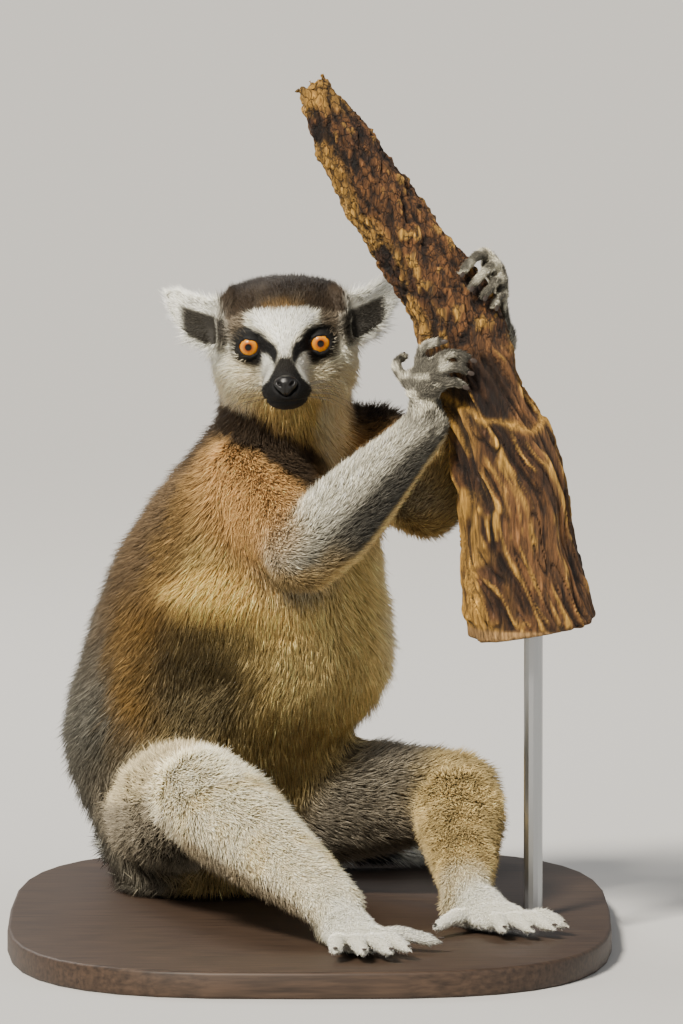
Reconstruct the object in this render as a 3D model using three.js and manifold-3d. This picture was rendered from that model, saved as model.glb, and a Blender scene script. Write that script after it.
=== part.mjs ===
// Ring-tailed lemur, life size, sitting on a plain display base with both hands round an upright length of
// dead wood.
// Millimetres, +Z up. The origin is the centre of the base's underside. The face looks along -Y, the wood
// stands at +X, and the tail lies folded behind the body at +Y. Sides named left and right are the animal's own.
import * as THREE from "three";
import { mergeVertices } from "three/addons/utils/BufferGeometryUtils.js";
import Module from "manifold-3d";

const wasm = await Module();
wasm.setup();

// ---------------------------------------------------------------- driving dimensions
const GAP = 0.35; // clearance between neighbouring solids
const BASE_THICK = 14;
const BASE_HALF_X = 161;
const BASE_HALF_Y = 282;
const FLOOR = BASE_THICK + GAP; // the level on which the animal rests

const vec = (x, y, z) => new THREE.Vector3(x, y, z);

// Joints of the skeleton.
const HIP = { right: vec(-80, 55, 60), left: vec(-50, 94, 62) };
const KNEE = { right: vec(-57, -83, 83), left: vec(79, 38, 71) };
const ANKLE = { right: vec(15, -178, 35), left: vec(83, -86, 34) };
const SHOULDER = { right: vec(-26, 14, 246), left: vec(34, 56, 255) };
const ELBOW = { right: vec(-3, -53, 208), left: vec(63, -8, 232) };
const WRIST = { right: vec(62, -60, 277), left: vec(99, -13, 321) };
const NECK_ROOT = vec(-14, 44, 258);
const EYE_MIDDLE = vec(-13.5, -12, 318.5);

// The head's own frame: x to its left, y to its back, z to its crown, turned a little down and tilted.
const HEAD_PITCH = THREE.MathUtils.degToRad(4);
const HEAD_ROLL = THREE.MathUtils.degToRad(3);
const EYE_APART = 37;
const EYE_RADIUS = 8;
const NOSE_REACH = 43; // from the line of the eyes to the tip of the nose

// The trunk, coat and all, by level slices: middle, half depth from back to belly, half width, and the
// direction in degrees that the belly faces, counted from +X towards -Y.
const SLICE_STEP = 28;
const SLICES = [
  { x: -57, y: 76, deep: 47, wide: 50, facing: 42 },
  { x: -57, y: 78, deep: 58, wide: 57, facing: 42 },
  { x: -63, y: 79, deep: 67, wide: 62, facing: 42 },
  { x: -62, y: 76, deep: 80, wide: 70, facing: 42 },
  { x: -47, y: 70, deep: 95, wide: 78, facing: 43 },
  { x: -38, y: 63, deep: 97, wide: 77, facing: 45 },
  { x: -36, y: 57, deep: 91, wide: 72, facing: 48 },
  { x: -32, y: 51, deep: 82, wide: 67, facing: 51 },
  { x: -25, y: 46, deep: 66, wide: 60, facing: 54 },
  { x: -22, y: 46, deep: 42, wide: 44, facing: 54 },
  { x: -20, y: 46, deep: 20, wide: 24, facing: 54 },
];
const LOWEST_SLICE = 8;

// Digits.
const FINGER_RADIUS = 3.9;
const TOE_RADIUS = 4.7;

// The dead wood: points of its axis from the broken tip to the sawn foot, and its radius there.
const WOOD = [
  { at: vec(3, -48, 454), radius: 9 },
  { at: vec(10, -48, 441), radius: 14 },
  { at: vec(21, -48, 422), radius: 17.5 },
  { at: vec(36, -48, 400), radius: 19 },
  { at: vec(53, -48, 372), radius: 19 },
  { at: vec(77, -48, 339), radius: 25.5 },
  { at: vec(84, -48, 315), radius: 26 },
  { at: vec(91, -48, 294), radius: 22 },
  { at: vec(101, -47, 272), radius: 25 },
  { at: vec(107, -46, 244), radius: 29 },
  { at: vec(112, -44, 206), radius: 30 },
  { at: vec(119, -42, 168), radius: 34 },
];
const ROD_RADIUS = 5;

// The tail: a long arc behind the body, folded back once.
const TAIL_RADIUS = 23;
const TAIL_SUNK = 0.92; // share of the radius at which its middle lies above the floor
const TAIL = [
  vec(-84, 100, 58),
  vec(-98, 128, 44),
  vec(-95, 160, 0),
  vec(-64, 180, 0),
  vec(-30, 186, 0),
  vec(4, 182, 0),
  vec(48, 184, 0),
  vec(76, 200, 0),
  vec(78, 226, 0),
  vec(52, 241, 0),
  vec(6, 240, 0),
  vec(-42, 238, 0),
  vec(-88, 236, 0),
  vec(-118, 222, 0),
];

// Coat colours.
const COLOURS = {
  back: 0x8a7a68,
  head: 0x9c9488,
  pale: 0xe6dfcf,
  grey: 0x8f8e8a,
  shin: 0xe2d8c2,
  white: 0xeeeae0,
  black: 0x1c1a1a,
  eye: 0xc8641a,
  wood: 0x8a6236,
  board: 0x5a4636,
  steel: 0x77797c,
};

// ---------------------------------------------------------------- masses of flesh and coat
// A mass is a function of a point: its distance outside the surface, negative inside.
const roundCone = (a, b, radiusA, radiusB) => {
  const along = b.clone().sub(a);
  const squared = along.lengthSq();
  return (p) => {
    const from = p.clone().sub(a);
    const t = THREE.MathUtils.clamp(from.dot(along) / squared, 0, 1);
    return from.addScaledVector(along, -t).length() - THREE.MathUtils.lerp(radiusA, radiusB, t);
  };
};

// An ellipsoid with its radii along three axes, x, y and z unless a frame of other axes is given.
const ellipsoid = (centre, radii, frame = new THREE.Matrix4()) => {
  const inverse = frame.clone().setPosition(centre).invert();
  return (p) => {
    const q = p.clone().applyMatrix4(inverse);
    const first = q.clone().divide(radii);
    const second = first.clone().divide(radii);
    const size = first.length();
    return size < 1e-6 ? -Math.min(radii.x, radii.y, radii.z) : (size * (size - 1)) / second.length();
  };
};

const blendTwo = (a, b, soft) => {
  const h = THREE.MathUtils.clamp(0.5 + (0.5 * (b - a)) / soft, 0, 1);
  return THREE.MathUtils.lerp(b, a, h) - soft * h * (1 - h);
};
const joined = (soft, ...masses) => (p) => masses.map((m) => m(p)).reduce((a, b) => blendTwo(a, b, soft));
const hollowed = (mass, soft, ...cuts) => {
  const holes = joined(soft, ...cuts);
  return (p) => -blendTwo(holes(p), -mass(p), soft);
};
const grown = (mass, by) => (p) => mass(p) - by;

// ---------------------------------------------------------------- surfaces
// A closed surface on the grid of a sphere: place(u, turn) gives the point at u from 0 to 1 and at a turn.
function closedSurface(around, along, place) {
  const sphere = new THREE.SphereGeometry(1, around, along);
  sphere.deleteAttribute("normal");
  sphere.deleteAttribute("uv");
  const surface = mergeVertices(sphere, 1e-4);
  const points = surface.getAttribute("position");
  for (let i = 0; i < points.count; i++) {
    const u = Math.acos(THREE.MathUtils.clamp(points.getY(i), -1, 1)) / Math.PI;
    const p = place(u, Math.atan2(points.getZ(i), points.getX(i)));
    points.setXYZ(i, p.x, p.y, p.z);
  }
  return surface;
}

// How far a ray goes from inside a mass to its surface.
function reach(mass, from, direction, furthest) {
  const at = (r) => mass(from.clone().addScaledVector(direction, r));
  let r = 0;
  let value = at(0);
  while (value < 0 && r < furthest) {
    r += Math.max(0.6, -0.8 * value);
    value = at(r);
  }
  let low = Math.max(0, r - 6);
  let high = Math.min(r, furthest);
  for (let i = 0; i < 14; i++) {
    const middle = (low + high) / 2;
    if (at(middle) < 0) low = middle;
    else high = middle;
  }
  return (low + high) / 2;
}

// Wraps a mass from the inside: rings square to a line from a to b, and a round cap at each end.
function wrapped(mass, a, b, { around, along, caps = 0.3, side = vec(1, 0, 0), furthest = 120 }) {
  const axis = b.clone().sub(a).normalize();
  const across = side.clone().addScaledVector(axis, -side.dot(axis)).normalize();
  const up = axis.clone().cross(across);
  return closedSurface(around, along, (u, turn) => {
    const cap = u < caps ? u / caps : u > 1 - caps ? (1 - u) / caps : 1;
    const station = THREE.MathUtils.clamp((u - caps) / (1 - 2 * caps), 0, 1);
    const lean = (cap * Math.PI) / 2;
    const direction = across
      .clone()
      .multiplyScalar(Math.cos(turn) * Math.sin(lean))
      .addScaledVector(up, -Math.sin(turn) * Math.sin(lean))
      .addScaledVector(axis, (u < 0.5 ? -1 : 1) * Math.cos(lean));
    const from = a.clone().lerp(b, station);
    return from.addScaledVector(direction, reach(mass, from, direction, furthest));
  });
}

// A round tube with closed ends along a curve. radius(u) gives its radius.
function tube(curve, radius, around, along, ends) {
  return closedSurface(around, along, (u, turn) => {
    const round = Math.sqrt(1 - (1 - Math.min(1, u / ends, (1 - u) / ends)) ** 2);
    const tangent = curve.getTangentAt(u);
    const across = vec(0, 0, 1).addScaledVector(tangent, -tangent.z).normalize();
    const up = tangent.clone().cross(across);
    const r = radius(u) * round;
    return curve
      .getPointAt(u)
      .addScaledVector(across, r * Math.cos(turn))
      .addScaledVector(up, -r * Math.sin(turn));
  });
}

// ---------------------------------------------------------------- solids
function solid(geometry) {
  geometry.deleteAttribute("normal");
  geometry.deleteAttribute("uv");
  const merged = mergeVertices(geometry, 1e-4);
  const vertProperties = merged.getAttribute("position").array;
  const triVerts = new Uint32Array(merged.index.array);
  const made = new wasm.Manifold(new wasm.Mesh({ numProp: 3, vertProperties, triVerts }));
  if (made.volume() > 0) return made;
  // Inside out, so each triangle is turned over.
  for (let i = 0; i < triVerts.length; i += 3) {
    [triVerts[i], triVerts[i + 1]] = [triVerts[i + 1], triVerts[i]];
  }
  return new wasm.Manifold(new wasm.Mesh({ numProp: 3, vertProperties, triVerts }));
}

// The largest piece of a solid, so that slivers left by a cut are dropped.
const largest = (body) => body.decompose().reduce((a, b) => (b.volume() > a.volume() ? b : a));
const cut = (body, ...others) => largest(others.reduce((a, b) => a.subtract(b), body));
const fused = (...bodies) => bodies.reduce((a, b) => a.add(b));

const underFloor = solid(
  new THREE.BoxGeometry(4 * BASE_HALF_X, 4 * BASE_HALF_Y, 100).translate(0, 0, FLOOR - 50),
);
const rested = (body) => cut(body, underFloor);

// Every piece is trimmed by what surrounds the pieces placed before it, so neighbours meet without touching.
const surroundings = [];
function place(name, body, around, colour, roughness, metalness) {
  const trimmed = surroundings.length ? cut(body, ...surroundings) : body;
  node(name, trimmed, colour, roughness, metalness);
  surroundings.push(around);
}

const model = new THREE.Group();
function node(name, body, colour, roughness = 0.9, metalness = 0) {
  const mesh = body.getMesh();
  const width = mesh.numProp;
  const positions = new Float32Array(mesh.numVert * 3);
  for (let i = 0; i < mesh.numVert; i++) {
    positions.set(mesh.vertProperties.subarray(i * width, i * width + 3), i * 3);
  }
  const geometry = new THREE.BufferGeometry()
    .setAttribute("position", new THREE.BufferAttribute(positions, 3))
    .setIndex(new THREE.BufferAttribute(mesh.triVerts, 1));
  geometry.computeVertexNormals();
  const finish = new THREE.MeshStandardMaterial({ color: colour, roughness, metalness });
  const made = new THREE.Mesh(geometry, finish);
  made.name = name;
  model.add(made);
}

// ---------------------------------------------------------------- stand: board and rod
const boardOutline = new THREE.Shape();
const BOARD_CORNERS = 40;
const BOARD_SQUARENESS = 3.2; // exponent of the superellipse: 2 is an ellipse, more is squarer
for (let i = 0; i < BOARD_CORNERS; i++) {
  const turn = (i / BOARD_CORNERS) * 2 * Math.PI;
  const x = Math.sign(Math.cos(turn)) * BASE_HALF_X * Math.abs(Math.cos(turn)) ** (2 / BOARD_SQUARENESS);
  const y = Math.sign(Math.sin(turn)) * BASE_HALF_Y * Math.abs(Math.sin(turn)) ** (2 / BOARD_SQUARENESS);
  if (i === 0) boardOutline.moveTo(x, y);
  else boardOutline.lineTo(x, y);
}
boardOutline.closePath();
const board = solid(new THREE.ExtrudeGeometry(boardOutline, { depth: BASE_THICK, bevelEnabled: false }));

// ---------------------------------------------------------------- perch: dead wood, broken above, sawn below
const woodCurve = new THREE.CatmullRomCurve3(WOOD.map((w) => w.at), false, "centripetal");
const woodFoot = WOOD[WOOD.length - 1];
function woodRadius(u) {
  const place = u * (WOOD.length - 1);
  const i = Math.min(WOOD.length - 2, Math.floor(place));
  return THREE.MathUtils.lerp(WOOD[i].radius, WOOD[i + 1].radius, place - i);
}
// Long flutes of the grain that turn slowly round the wood.
const FLUTES = 5;
function fluted(u, turn) {
  const flutes = 0.06 * Math.sin(FLUTES * turn + 5 * u);
  const furrows = 0.035 * Math.sin(9 * turn - 14 * u);
  const rings = 0.03 * Math.sin(31 * u + 2 * turn);
  return 1 + flutes + furrows + rings;
}
const WOOD_RINGS = 20;
const SPLINTER = 9; // height of the broken tip's teeth
const woodAt = (grow) =>
  solid(
    closedSurface(15, WOOD_RINGS, (step, turn) => {
      // The first and last steps close the ends flat. The curve's own parameter keeps radii at their points.
      const u = THREE.MathUtils.clamp((step * WOOD_RINGS - 1) / (WOOD_RINGS - 2), 0, 1);
      const tangent = woodCurve.getTangent(u);
      const across = vec(0, -1, 0).addScaledVector(tangent, tangent.y).normalize();
      const up = tangent.clone().cross(across);
      const closing = step < 0.001 || step > 0.999 ? 0 : 1;
      const r = (woodRadius(u) * fluted(u, turn) + grow) * closing;
      const tooth = u === 0 ? closing * SPLINTER * Math.abs(Math.sin(2.5 * turn)) : 0;
      return woodCurve
        .getPoint(u)
        .addScaledVector(tangent, -tooth)
        .addScaledVector(across, r * Math.cos(turn))
        .addScaledVector(up, -r * Math.sin(turn));
    }),
  );
const wood = woodAt(0);
const roundWood = woodAt(GAP);

const ROD_IN_WOOD = 12;
const ROD_IN_BOARD = 8;
const rodTop = woodFoot.at.z + ROD_IN_WOOD;
const rodFoot = BASE_THICK - ROD_IN_BOARD;
const rod = (radius, from, to) =>
  solid(new THREE.CylinderGeometry(radius, radius, to - from, 12).rotateX(Math.PI / 2))
    .translate([woodFoot.at.x, woodFoot.at.y, (from + to) / 2]);
const rodRoom = rod(ROD_RADIUS + GAP, rodFoot - GAP, rodTop + GAP); // the holes for the rod in board and wood

node("stand_base", cut(board, rodRoom), COLOURS.board, 0.5);
node("stand_rod", rod(ROD_RADIUS, rodFoot, rodTop), COLOURS.steel, 0.35, 0.9);
node("perch", cut(wood, rodRoom), COLOURS.wood);
surroundings.push(roundWood);

// ---------------------------------------------------------------- head
const headFrame = new THREE.Matrix4()
  .makeRotationFromEuler(new THREE.Euler(HEAD_PITCH, -HEAD_ROLL, 0))
  .setPosition(EYE_MIDDLE);
const onHead = (x, y, z) => vec(x, y, z).applyMatrix4(headFrame);
const headMass = (centre, radii) => ellipsoid(onHead(...centre), vec(...radii), headFrame);
const bothSides = (make) => [make(1), make(-1)];

const skull = joined(
  9,
  headMass([0, 19, 9], [34.5, 35, 26]), // braincase
  ...bothSides((s) => headMass([s * 19, 18, 13], [16.5, 24, 17.5])), // corners of the flat crown
  headMass([0, 8, -2], [33, 17, 24]), // face between and below the eyes
  ...bothSides((s) => headMass([s * 23, 13, -19], [18, 19, 20])), // cheek ruff
  headMass([0, 12, -24], [26, 24, 17]), // jaw and throat
);
const muzzle = joined(
  5,
  roundCone(onHead(0, 0, -9), onHead(0, -NOSE_REACH + 11, -18), 15.5, 9),
  headMass([0, -NOSE_REACH + 15, -21], [14, 13, 9]), // upper lips
  headMass([0, -NOSE_REACH + 20, -26], [11, 13, 6.5]), // chin
);
const EYE_SIDE = EYE_APART / 2;
const brows = bothSides((s) => headMass([s * (EYE_SIDE - 1), 1, 8.5], [10, 8, 4.5]));
const sockets = bothSides((s) => headMass([s * (EYE_SIDE + 1), -6, -0.5], [9.5, 7.5, 8]));
const headField = hollowed(joined(7, skull, muzzle, ...brows), 3, ...sockets);

const NOSE_LEVEL = -17; // the middle of the nose pad, below the line of the eyes
const padField = joined(
  2.5,
  headMass([0, -NOSE_REACH + 4, NOSE_LEVEL + 1], [6.6, 4.6, 4.6]),
  headMass([0, -NOSE_REACH + 4, NOSE_LEVEL - 2.5], [3, 4, 4]),
);
const padEnd = (side) => onHead(2 * side, -NOSE_REACH + 4, NOSE_LEVEL);
const nosePad = (grow) =>
  solid(wrapped(grown(padField, grow), padEnd(-1), padEnd(1), { around: 10, along: 7, side: vec(0, 0, 1) }));
const eyeball = (side, radius) => {
  const at = onHead(side * EYE_SIDE, 0, 0);
  return solid(new THREE.SphereGeometry(radius, 12, 8)).translate([at.x, at.y, at.z]);
};

// ---------------------------------------------------------------- ears: pointed cups, open to the front
const EAR_LENGTH = 36;
const EAR_HALF_WIDTH = 17.5;
const EAR_THICK = 3.4;
const EAR_CUP = 10;
const EAR_SWEEP = 12; // how far the tip is drawn up from the middle line
const EAR_OPEN = THREE.MathUtils.degToRad(22); // how far the cup looks outwards
const EAR_RISE = THREE.MathUtils.degToRad(8);
function ear(side) {
  const turned = (x, y, z) => onHead(side * x, y, z).sub(EYE_MIDDLE).normalize();
  const root = onHead(side * 30, 17, 9);
  const out = turned(Math.cos(EAR_RISE), 0.1, Math.sin(EAR_RISE));
  const facing = turned(Math.sin(EAR_OPEN), -Math.cos(EAR_OPEN), 0);
  const lower = out.clone().cross(facing).multiplyScalar(side).normalize();
  return solid(
    closedSurface(10, 8, (u, turn) => {
      const closed = u === 0 || u === 1 ? 0 : 1;
      // The width shrinks from the root to a blunt point at the upper, outer corner.
      const width = EAR_HALF_WIDTH * (1 - 0.25 * u) * Math.sqrt(1 - u ** 4);
      const across = Math.cos(turn) * closed;
      const cup = EAR_CUP * across * across * (0.4 + 0.6 * Math.sin(Math.PI * Math.min(1, u + 0.15)));
      return root
        .clone()
        .addScaledVector(out, EAR_LENGTH * u)
        .addScaledVector(lower, width * across - EAR_SWEEP * u * u)
        .addScaledVector(facing, cup + EAR_THICK * closed * (1 - 0.4 * u) * Math.sin(turn) - 4);
    }),
  );
}

// ---------------------------------------------------------------- neck
const neckField = joined(
  12,
  roundCone(NECK_ROOT, onHead(0, 26, -16), 42, 34),
  roundCone(NECK_ROOT.clone().add(vec(6, -14, -6)), onHead(0, 13, -27), 33, 20),
);
const neckWrap = (grow) =>
  solid(
    wrapped(grown(neckField, grow), NECK_ROOT.clone().add(vec(0, -4, -10)), onHead(0, 22, -16), {
      around: 16,
      along: 9,
      caps: 0.35,
    }),
  );
place("neck", neckWrap(0), neckWrap(GAP), COLOURS.pale);

const HEAD_SPINE = [onHead(0, -5, -10), onHead(0, 22, 3)];
const HEAD_GRID = { around: 20, along: 23, caps: 0.41 };
const headWrap = (grow) => solid(wrapped(grown(headField, grow), ...HEAD_SPINE, HEAD_GRID));
place("nose", nosePad(0), nosePad(GAP), COLOURS.black, 0.35);
place("eye_left", eyeball(1, EYE_RADIUS), eyeball(1, EYE_RADIUS + GAP), COLOURS.eye, 0.1);
place("eye_right", eyeball(-1, EYE_RADIUS), eyeball(-1, EYE_RADIUS + GAP), COLOURS.eye, 0.1);
place("head", headWrap(0), headWrap(GAP), COLOURS.head);
place("ear_left", ear(1), ear(1), COLOURS.white);
place("ear_right", ear(-1), ear(-1), COLOURS.white);

// ---------------------------------------------------------------- trunk
const smoothly = (points) => new THREE.CatmullRomCurve3(points, false, "catmullrom");
const sliceMiddles = smoothly(SLICES.map((s) => vec(s.x, s.y, 0)));
const sliceSizes = smoothly(SLICES.map((s) => vec(s.deep, s.wide, s.facing)));
const SLICES_TALL = SLICE_STEP * (SLICES.length - 1);
function slicesField(p) {
  const level = (p.z - LOWEST_SLICE) / SLICES_TALL;
  const inside = THREE.MathUtils.clamp(level, 0, 1);
  const middle = sliceMiddles.getPoint(inside);
  const size = sliceSizes.getPoint(inside);
  const facing = THREE.MathUtils.degToRad(-size.z);
  const x = p.x - middle.x;
  const y = p.y - middle.y;
  const deep = (x * Math.cos(facing) + y * Math.sin(facing)) / size.x;
  const wide = (y * Math.cos(facing) - x * Math.sin(facing)) / size.y;
  const outside = (Math.hypot(deep, wide) - 1) * Math.min(size.x, size.y);
  const beyond = Math.abs(level - inside) * SLICES_TALL;
  return Math.max(outside, beyond - 2);
}

const leftOfPelvis = HIP.left.clone().sub(HIP.right).normalize();
const trunkField = joined(
  16,
  slicesField,
  ellipsoid(SHOULDER.right, vec(27, 27, 27)),
  ellipsoid(SHOULDER.left, vec(24, 24, 24)),
  ellipsoid(HIP.right, vec(31, 31, 31)),
  ellipsoid(HIP.left, vec(34, 34, 34)),
);
const trunkWrap = (grow) =>
  solid(
    wrapped(grown(trunkField, grow), vec(-64, 78, 80), vec(-20, 46, 230), {
      around: 20,
      along: 17,
      caps: 0.29,
      side: leftOfPelvis,
      furthest: 160,
    }),
  );
place("trunk", rested(trunkWrap(0)), trunkWrap(GAP), COLOURS.back);

// ---------------------------------------------------------------- arms and legs
// One length of a limb: a mass with a belly of muscle part of the way down.
function limbField(from, to, start, end, belly, bellyAt) {
  const middle = from.clone().lerp(to, bellyAt);
  return joined(8, roundCone(from, middle, start, belly), roundCone(middle, to, belly, end));
}
function limb(from, to, start, end, belly, bellyAt) {
  const field = limbField(from, to, start, end, belly, bellyAt);
  const grid = { around: 12, along: 8, side: vec(0, 0.2, 1) };
  const make = (grow) => solid(wrapped(grown(field, grow), from, to, grid));
  return { body: make(0), around: make(GAP) };
}

const ARM = {
  right: { shoulder: 33, elbow: 22, swell: 27, wrist: 13, calf: 24.5 },
  left: { shoulder: 30, elbow: 21, swell: 25, wrist: 13, calf: 23 },
};
const LEG = {
  right: { hip: 38, knee: 29, swell: 37, ankle: 16, calf: 30 },
  left: { hip: 42, knee: 27, swell: 39, ankle: 15, calf: 26 },
};

// A digit: a tube through its joints with a padded tip.
function digit(points, radius, around, along, grow) {
  const curve = new THREE.CatmullRomCurve3(points, false, "centripetal");
  const swell = (u) => radius * (1.06 - 0.2 * u + 0.1 * Math.sin(7 * u)) + grow;
  return solid(tube(curve, swell, around, along, 0.16));
}

// The hands grip the wood. Each digit is given by its root in the palm, its knuckle, its bent joint and tip.
const HAND = {
  // Palm on the -X side of the wood, four fingers over the front and the thumb bent out beside them.
  right: {
    palm: vec(60, -65, 302),
    index: [vec(57, -64, 299), vec(57.5, -69, 307), vec(60, -76, 321), vec(73.5, -77, 324)],
    middle: [vec(60, -67, 299), vec(61, -72, 306), vec(74, -80, 318), vec(88, -77, 313)],
    ring: [vec(62, -68, 296), vec(64, -73, 302), vec(75, -79.5, 310.5), vec(86.5, -76.5, 306.5)],
    little: [vec(62, -67, 291), vec(65, -72, 297), vec(75, -77, 302.5), vec(84, -75, 299)],
    thumb: [vec(57, -60, 293), vec(51, -62, 302), vec(45, -62, 311), vec(53.5, -51, 315)],
  },
  // Palm behind the +X side, knuckles up, fingers over the top and down the front, thumb round the back.
  left: {
    palm: vec(96.5, -46, 357),
    index: [vec(96, -40, 360), vec(95.5, -48, 366), vec(90, -59, 369), vec(77.5, -71.5, 357)],
    middle: [vec(98, -42, 356), vec(99, -50, 361), vec(96.5, -61, 363), vec(82.5, -73.5, 349.5)],
    ring: [vec(99, -42, 351), vec(101, -50, 354), vec(100, -61, 356), vec(89.5, -72.5, 344.5)],
    little: [vec(100, -40, 345), vec(102, -48, 346), vec(101.5, -59, 348), vec(95.5, -70, 339)],
    thumb: [vec(94, -22, 346), vec(84, -14, 354), vec(72, -18, 359), vec(53.5, -24.5, 361)],
  },
};

function hand(side, grow) {
  const { palm, ...digits } = HAND[side];
  const wrist = WRIST[side];
  const middle = wrist.clone().lerp(palm, 0.72);
  const heel = roundCone(wrist, palm, ARM[side].wrist * 0.86, 9);
  const field = joined(4, heel, roundCone(middle, palm, 9.5, 10));
  const body = solid(wrapped(grown(field, grow), wrist, palm, { around: 8, along: 6, side: vec(0, 1, 1) }));
  return fused(body, ...Object.values(digits).map((points) => digit(points, FINGER_RADIUS, 5, 7, grow)));
}

// A foot lies on its sole: heel behind the ankle, five toes in a fan, the great toe off to its inner side.
function foot(ankle, heading, inner, ankleRadius, grow) {
  const turnBy = (degrees) => {
    const angle = THREE.MathUtils.degToRad(heading + degrees);
    return vec(Math.cos(angle), Math.sin(angle), 0);
  };
  const ahead = turnBy(0);
  const at = (reachOut, toInner, height) =>
    vec(ankle.x, ankle.y, FLOOR)
      .addScaledVector(ahead, reachOut)
      .addScaledVector(turnBy(90 * inner), toInner)
      .add(vec(0, 0, height));
  const sole = solid(
    wrapped(
      grown(
        joined(
          7,
          roundCone(ankle, at(14, 0, 13), ankleRadius * 0.8, 12),
          roundCone(at(-13, 0, 9), at(20, 0, 10), 10.5, 12),
          ellipsoid(at(34, 0, 8), vec(18, 18, 9.5)),
        ),
        grow,
      ),
      at(-6, 0, 10),
      at(32, 0, 9),
      { around: 10, along: 7, side: vec(0, 0, 1) },
    ),
  );
  const TOES = [
    { from: -14, splay: -24, long: 30 },
    { from: -7, splay: -9, long: 38 },
    { from: 0, splay: 3, long: 39 },
    { from: 7, splay: 15, long: 33 },
    { from: 10, splay: 62, long: 40, back: 16 },
  ];
  const toes = TOES.map((toe) => {
    const start = at(40 - (toe.back ?? 0), toe.from, 8.5);
    const along = turnBy(toe.splay * inner);
    const point = (share, height) =>
      start.clone().addScaledVector(along, toe.long * share).setZ(FLOOR + height);
    return digit([start, point(0.4, 9.5), point(0.75, 6.5), point(1, 4)], TOE_RADIUS, 5, 4, grow);
  });
  return fused(sole, ...toes);
}

// Headings of the feet in the XY plane, in degrees, and the side on which the great toe lies.
const FOOT = { right: { heading: -70, inner: 1 }, left: { heading: -62, inner: -1 } };

for (const side of ["right", "left"]) {
  const arm = ARM[side];
  const leg = LEG[side];
  const upperArm = limb(SHOULDER[side], ELBOW[side], arm.shoulder, arm.elbow, arm.swell, 0.55);
  const forearm = limb(ELBOW[side], WRIST[side], arm.elbow, arm.wrist, arm.calf, 0.3);
  const thigh = limb(HIP[side], KNEE[side], leg.hip, leg.knee, leg.swell, 0.4);
  const shin = limb(KNEE[side], ANKLE[side], leg.knee, leg.ankle, leg.calf, 0.28);
  const sole = (grow) => foot(ANKLE[side], FOOT[side].heading, FOOT[side].inner, leg.ankle, grow);
  place(`upper_arm_${side}`, upperArm.body, upperArm.around, COLOURS.grey);
  place(`forearm_${side}`, forearm.body, forearm.around, COLOURS.grey);
  place(`hand_${side}`, hand(side, 0), hand(side, GAP), COLOURS.grey);
  place(`thigh_${side}`, rested(thigh.body), thigh.around, COLOURS.grey);
  place(`shin_${side}`, rested(shin.body), shin.around, COLOURS.shin);
  place(`foot_${side}`, rested(sole(0)), sole(GAP), COLOURS.white);
}

// ---------------------------------------------------------------- tail, in four lengths
const tailCurve = new THREE.CatmullRomCurve3(TAIL, false, "centripetal");
function tailRadius(u) {
  const swelling = 0.3 * Math.sin(Math.PI * Math.min(1, 1.15 * u));
  return TAIL_RADIUS * (0.82 + swelling - 0.12 * u);
}
const TAIL_LENGTHS = ["tail_root", "tail_middle", "tail_bend", "tail_tip"];
const TAIL_RINGS = 8;
TAIL_LENGTHS.forEach((name, i) => {
  const first = i / TAIL_LENGTHS.length;
  const last = (i + 1) / TAIL_LENGTHS.length;
  const tip = i === TAIL_LENGTHS.length - 1;
  const make = (grow) =>
    solid(
      closedSurface(10, TAIL_RINGS, (step, turn) => {
        // Flat ends where the lengths meet, a drawn-out point at the tip.
        const u = THREE.MathUtils.clamp((step * TAIL_RINGS - 1) / (TAIL_RINGS - 2), 0, 1);
        const v = THREE.MathUtils.lerp(first, last, tip ? Math.max(u, step) : u);
        const tangent = tailCurve.getTangentAt(v);
        const up = vec(0, 0, 1);
        const across = tangent.clone().cross(up).normalize();
        const taper = tip ? Math.sqrt(1 - THREE.MathUtils.clamp((u - 0.6) / 0.45, 0, 1) ** 2) : 1;
        const r = tailRadius(v) * taper;
        const wide = step < 0.001 || step > 0.999 ? 0 : r + grow;
        const at = tailCurve.getPointAt(v);
        at.z = Math.max(at.z, FLOOR + TAIL_SUNK * r);
        at.addScaledVector(tangent, u === 1 ? grow : 0);
        return at.addScaledVector(up, wide * Math.cos(turn)).addScaledVector(across, -wide * Math.sin(turn));
      }),
    );
  place(name, rested(make(0)), make(GAP), i % 2 ? COLOURS.black : COLOURS.white);
});

export default model;
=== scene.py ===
"""A ring-tailed lemur on a display stand: the board and rod, the dead wood that it grips, its skin, coat,
eyes, nose, nails and whiskers, and the light.

Points and sizes are in millimetres, in the frame of the solids. MM turns them into Blender's metres.
"""

import math

import bmesh
import bpy
import numpy as np
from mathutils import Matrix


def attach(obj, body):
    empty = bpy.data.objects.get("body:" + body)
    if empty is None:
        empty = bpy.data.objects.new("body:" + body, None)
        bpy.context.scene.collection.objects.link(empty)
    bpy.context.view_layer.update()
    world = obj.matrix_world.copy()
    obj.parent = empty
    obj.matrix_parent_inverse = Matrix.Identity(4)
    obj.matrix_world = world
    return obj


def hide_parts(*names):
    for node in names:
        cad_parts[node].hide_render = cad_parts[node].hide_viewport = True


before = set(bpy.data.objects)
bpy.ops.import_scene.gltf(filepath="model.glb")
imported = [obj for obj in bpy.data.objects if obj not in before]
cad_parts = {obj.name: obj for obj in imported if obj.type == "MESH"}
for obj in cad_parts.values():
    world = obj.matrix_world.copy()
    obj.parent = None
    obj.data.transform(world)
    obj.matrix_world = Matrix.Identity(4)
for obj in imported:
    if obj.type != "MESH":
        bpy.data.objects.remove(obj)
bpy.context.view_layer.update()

MM = 0.001
bpy.ops.object.select_all(action="DESELECT")
rng = np.random.default_rng(11)


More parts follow.
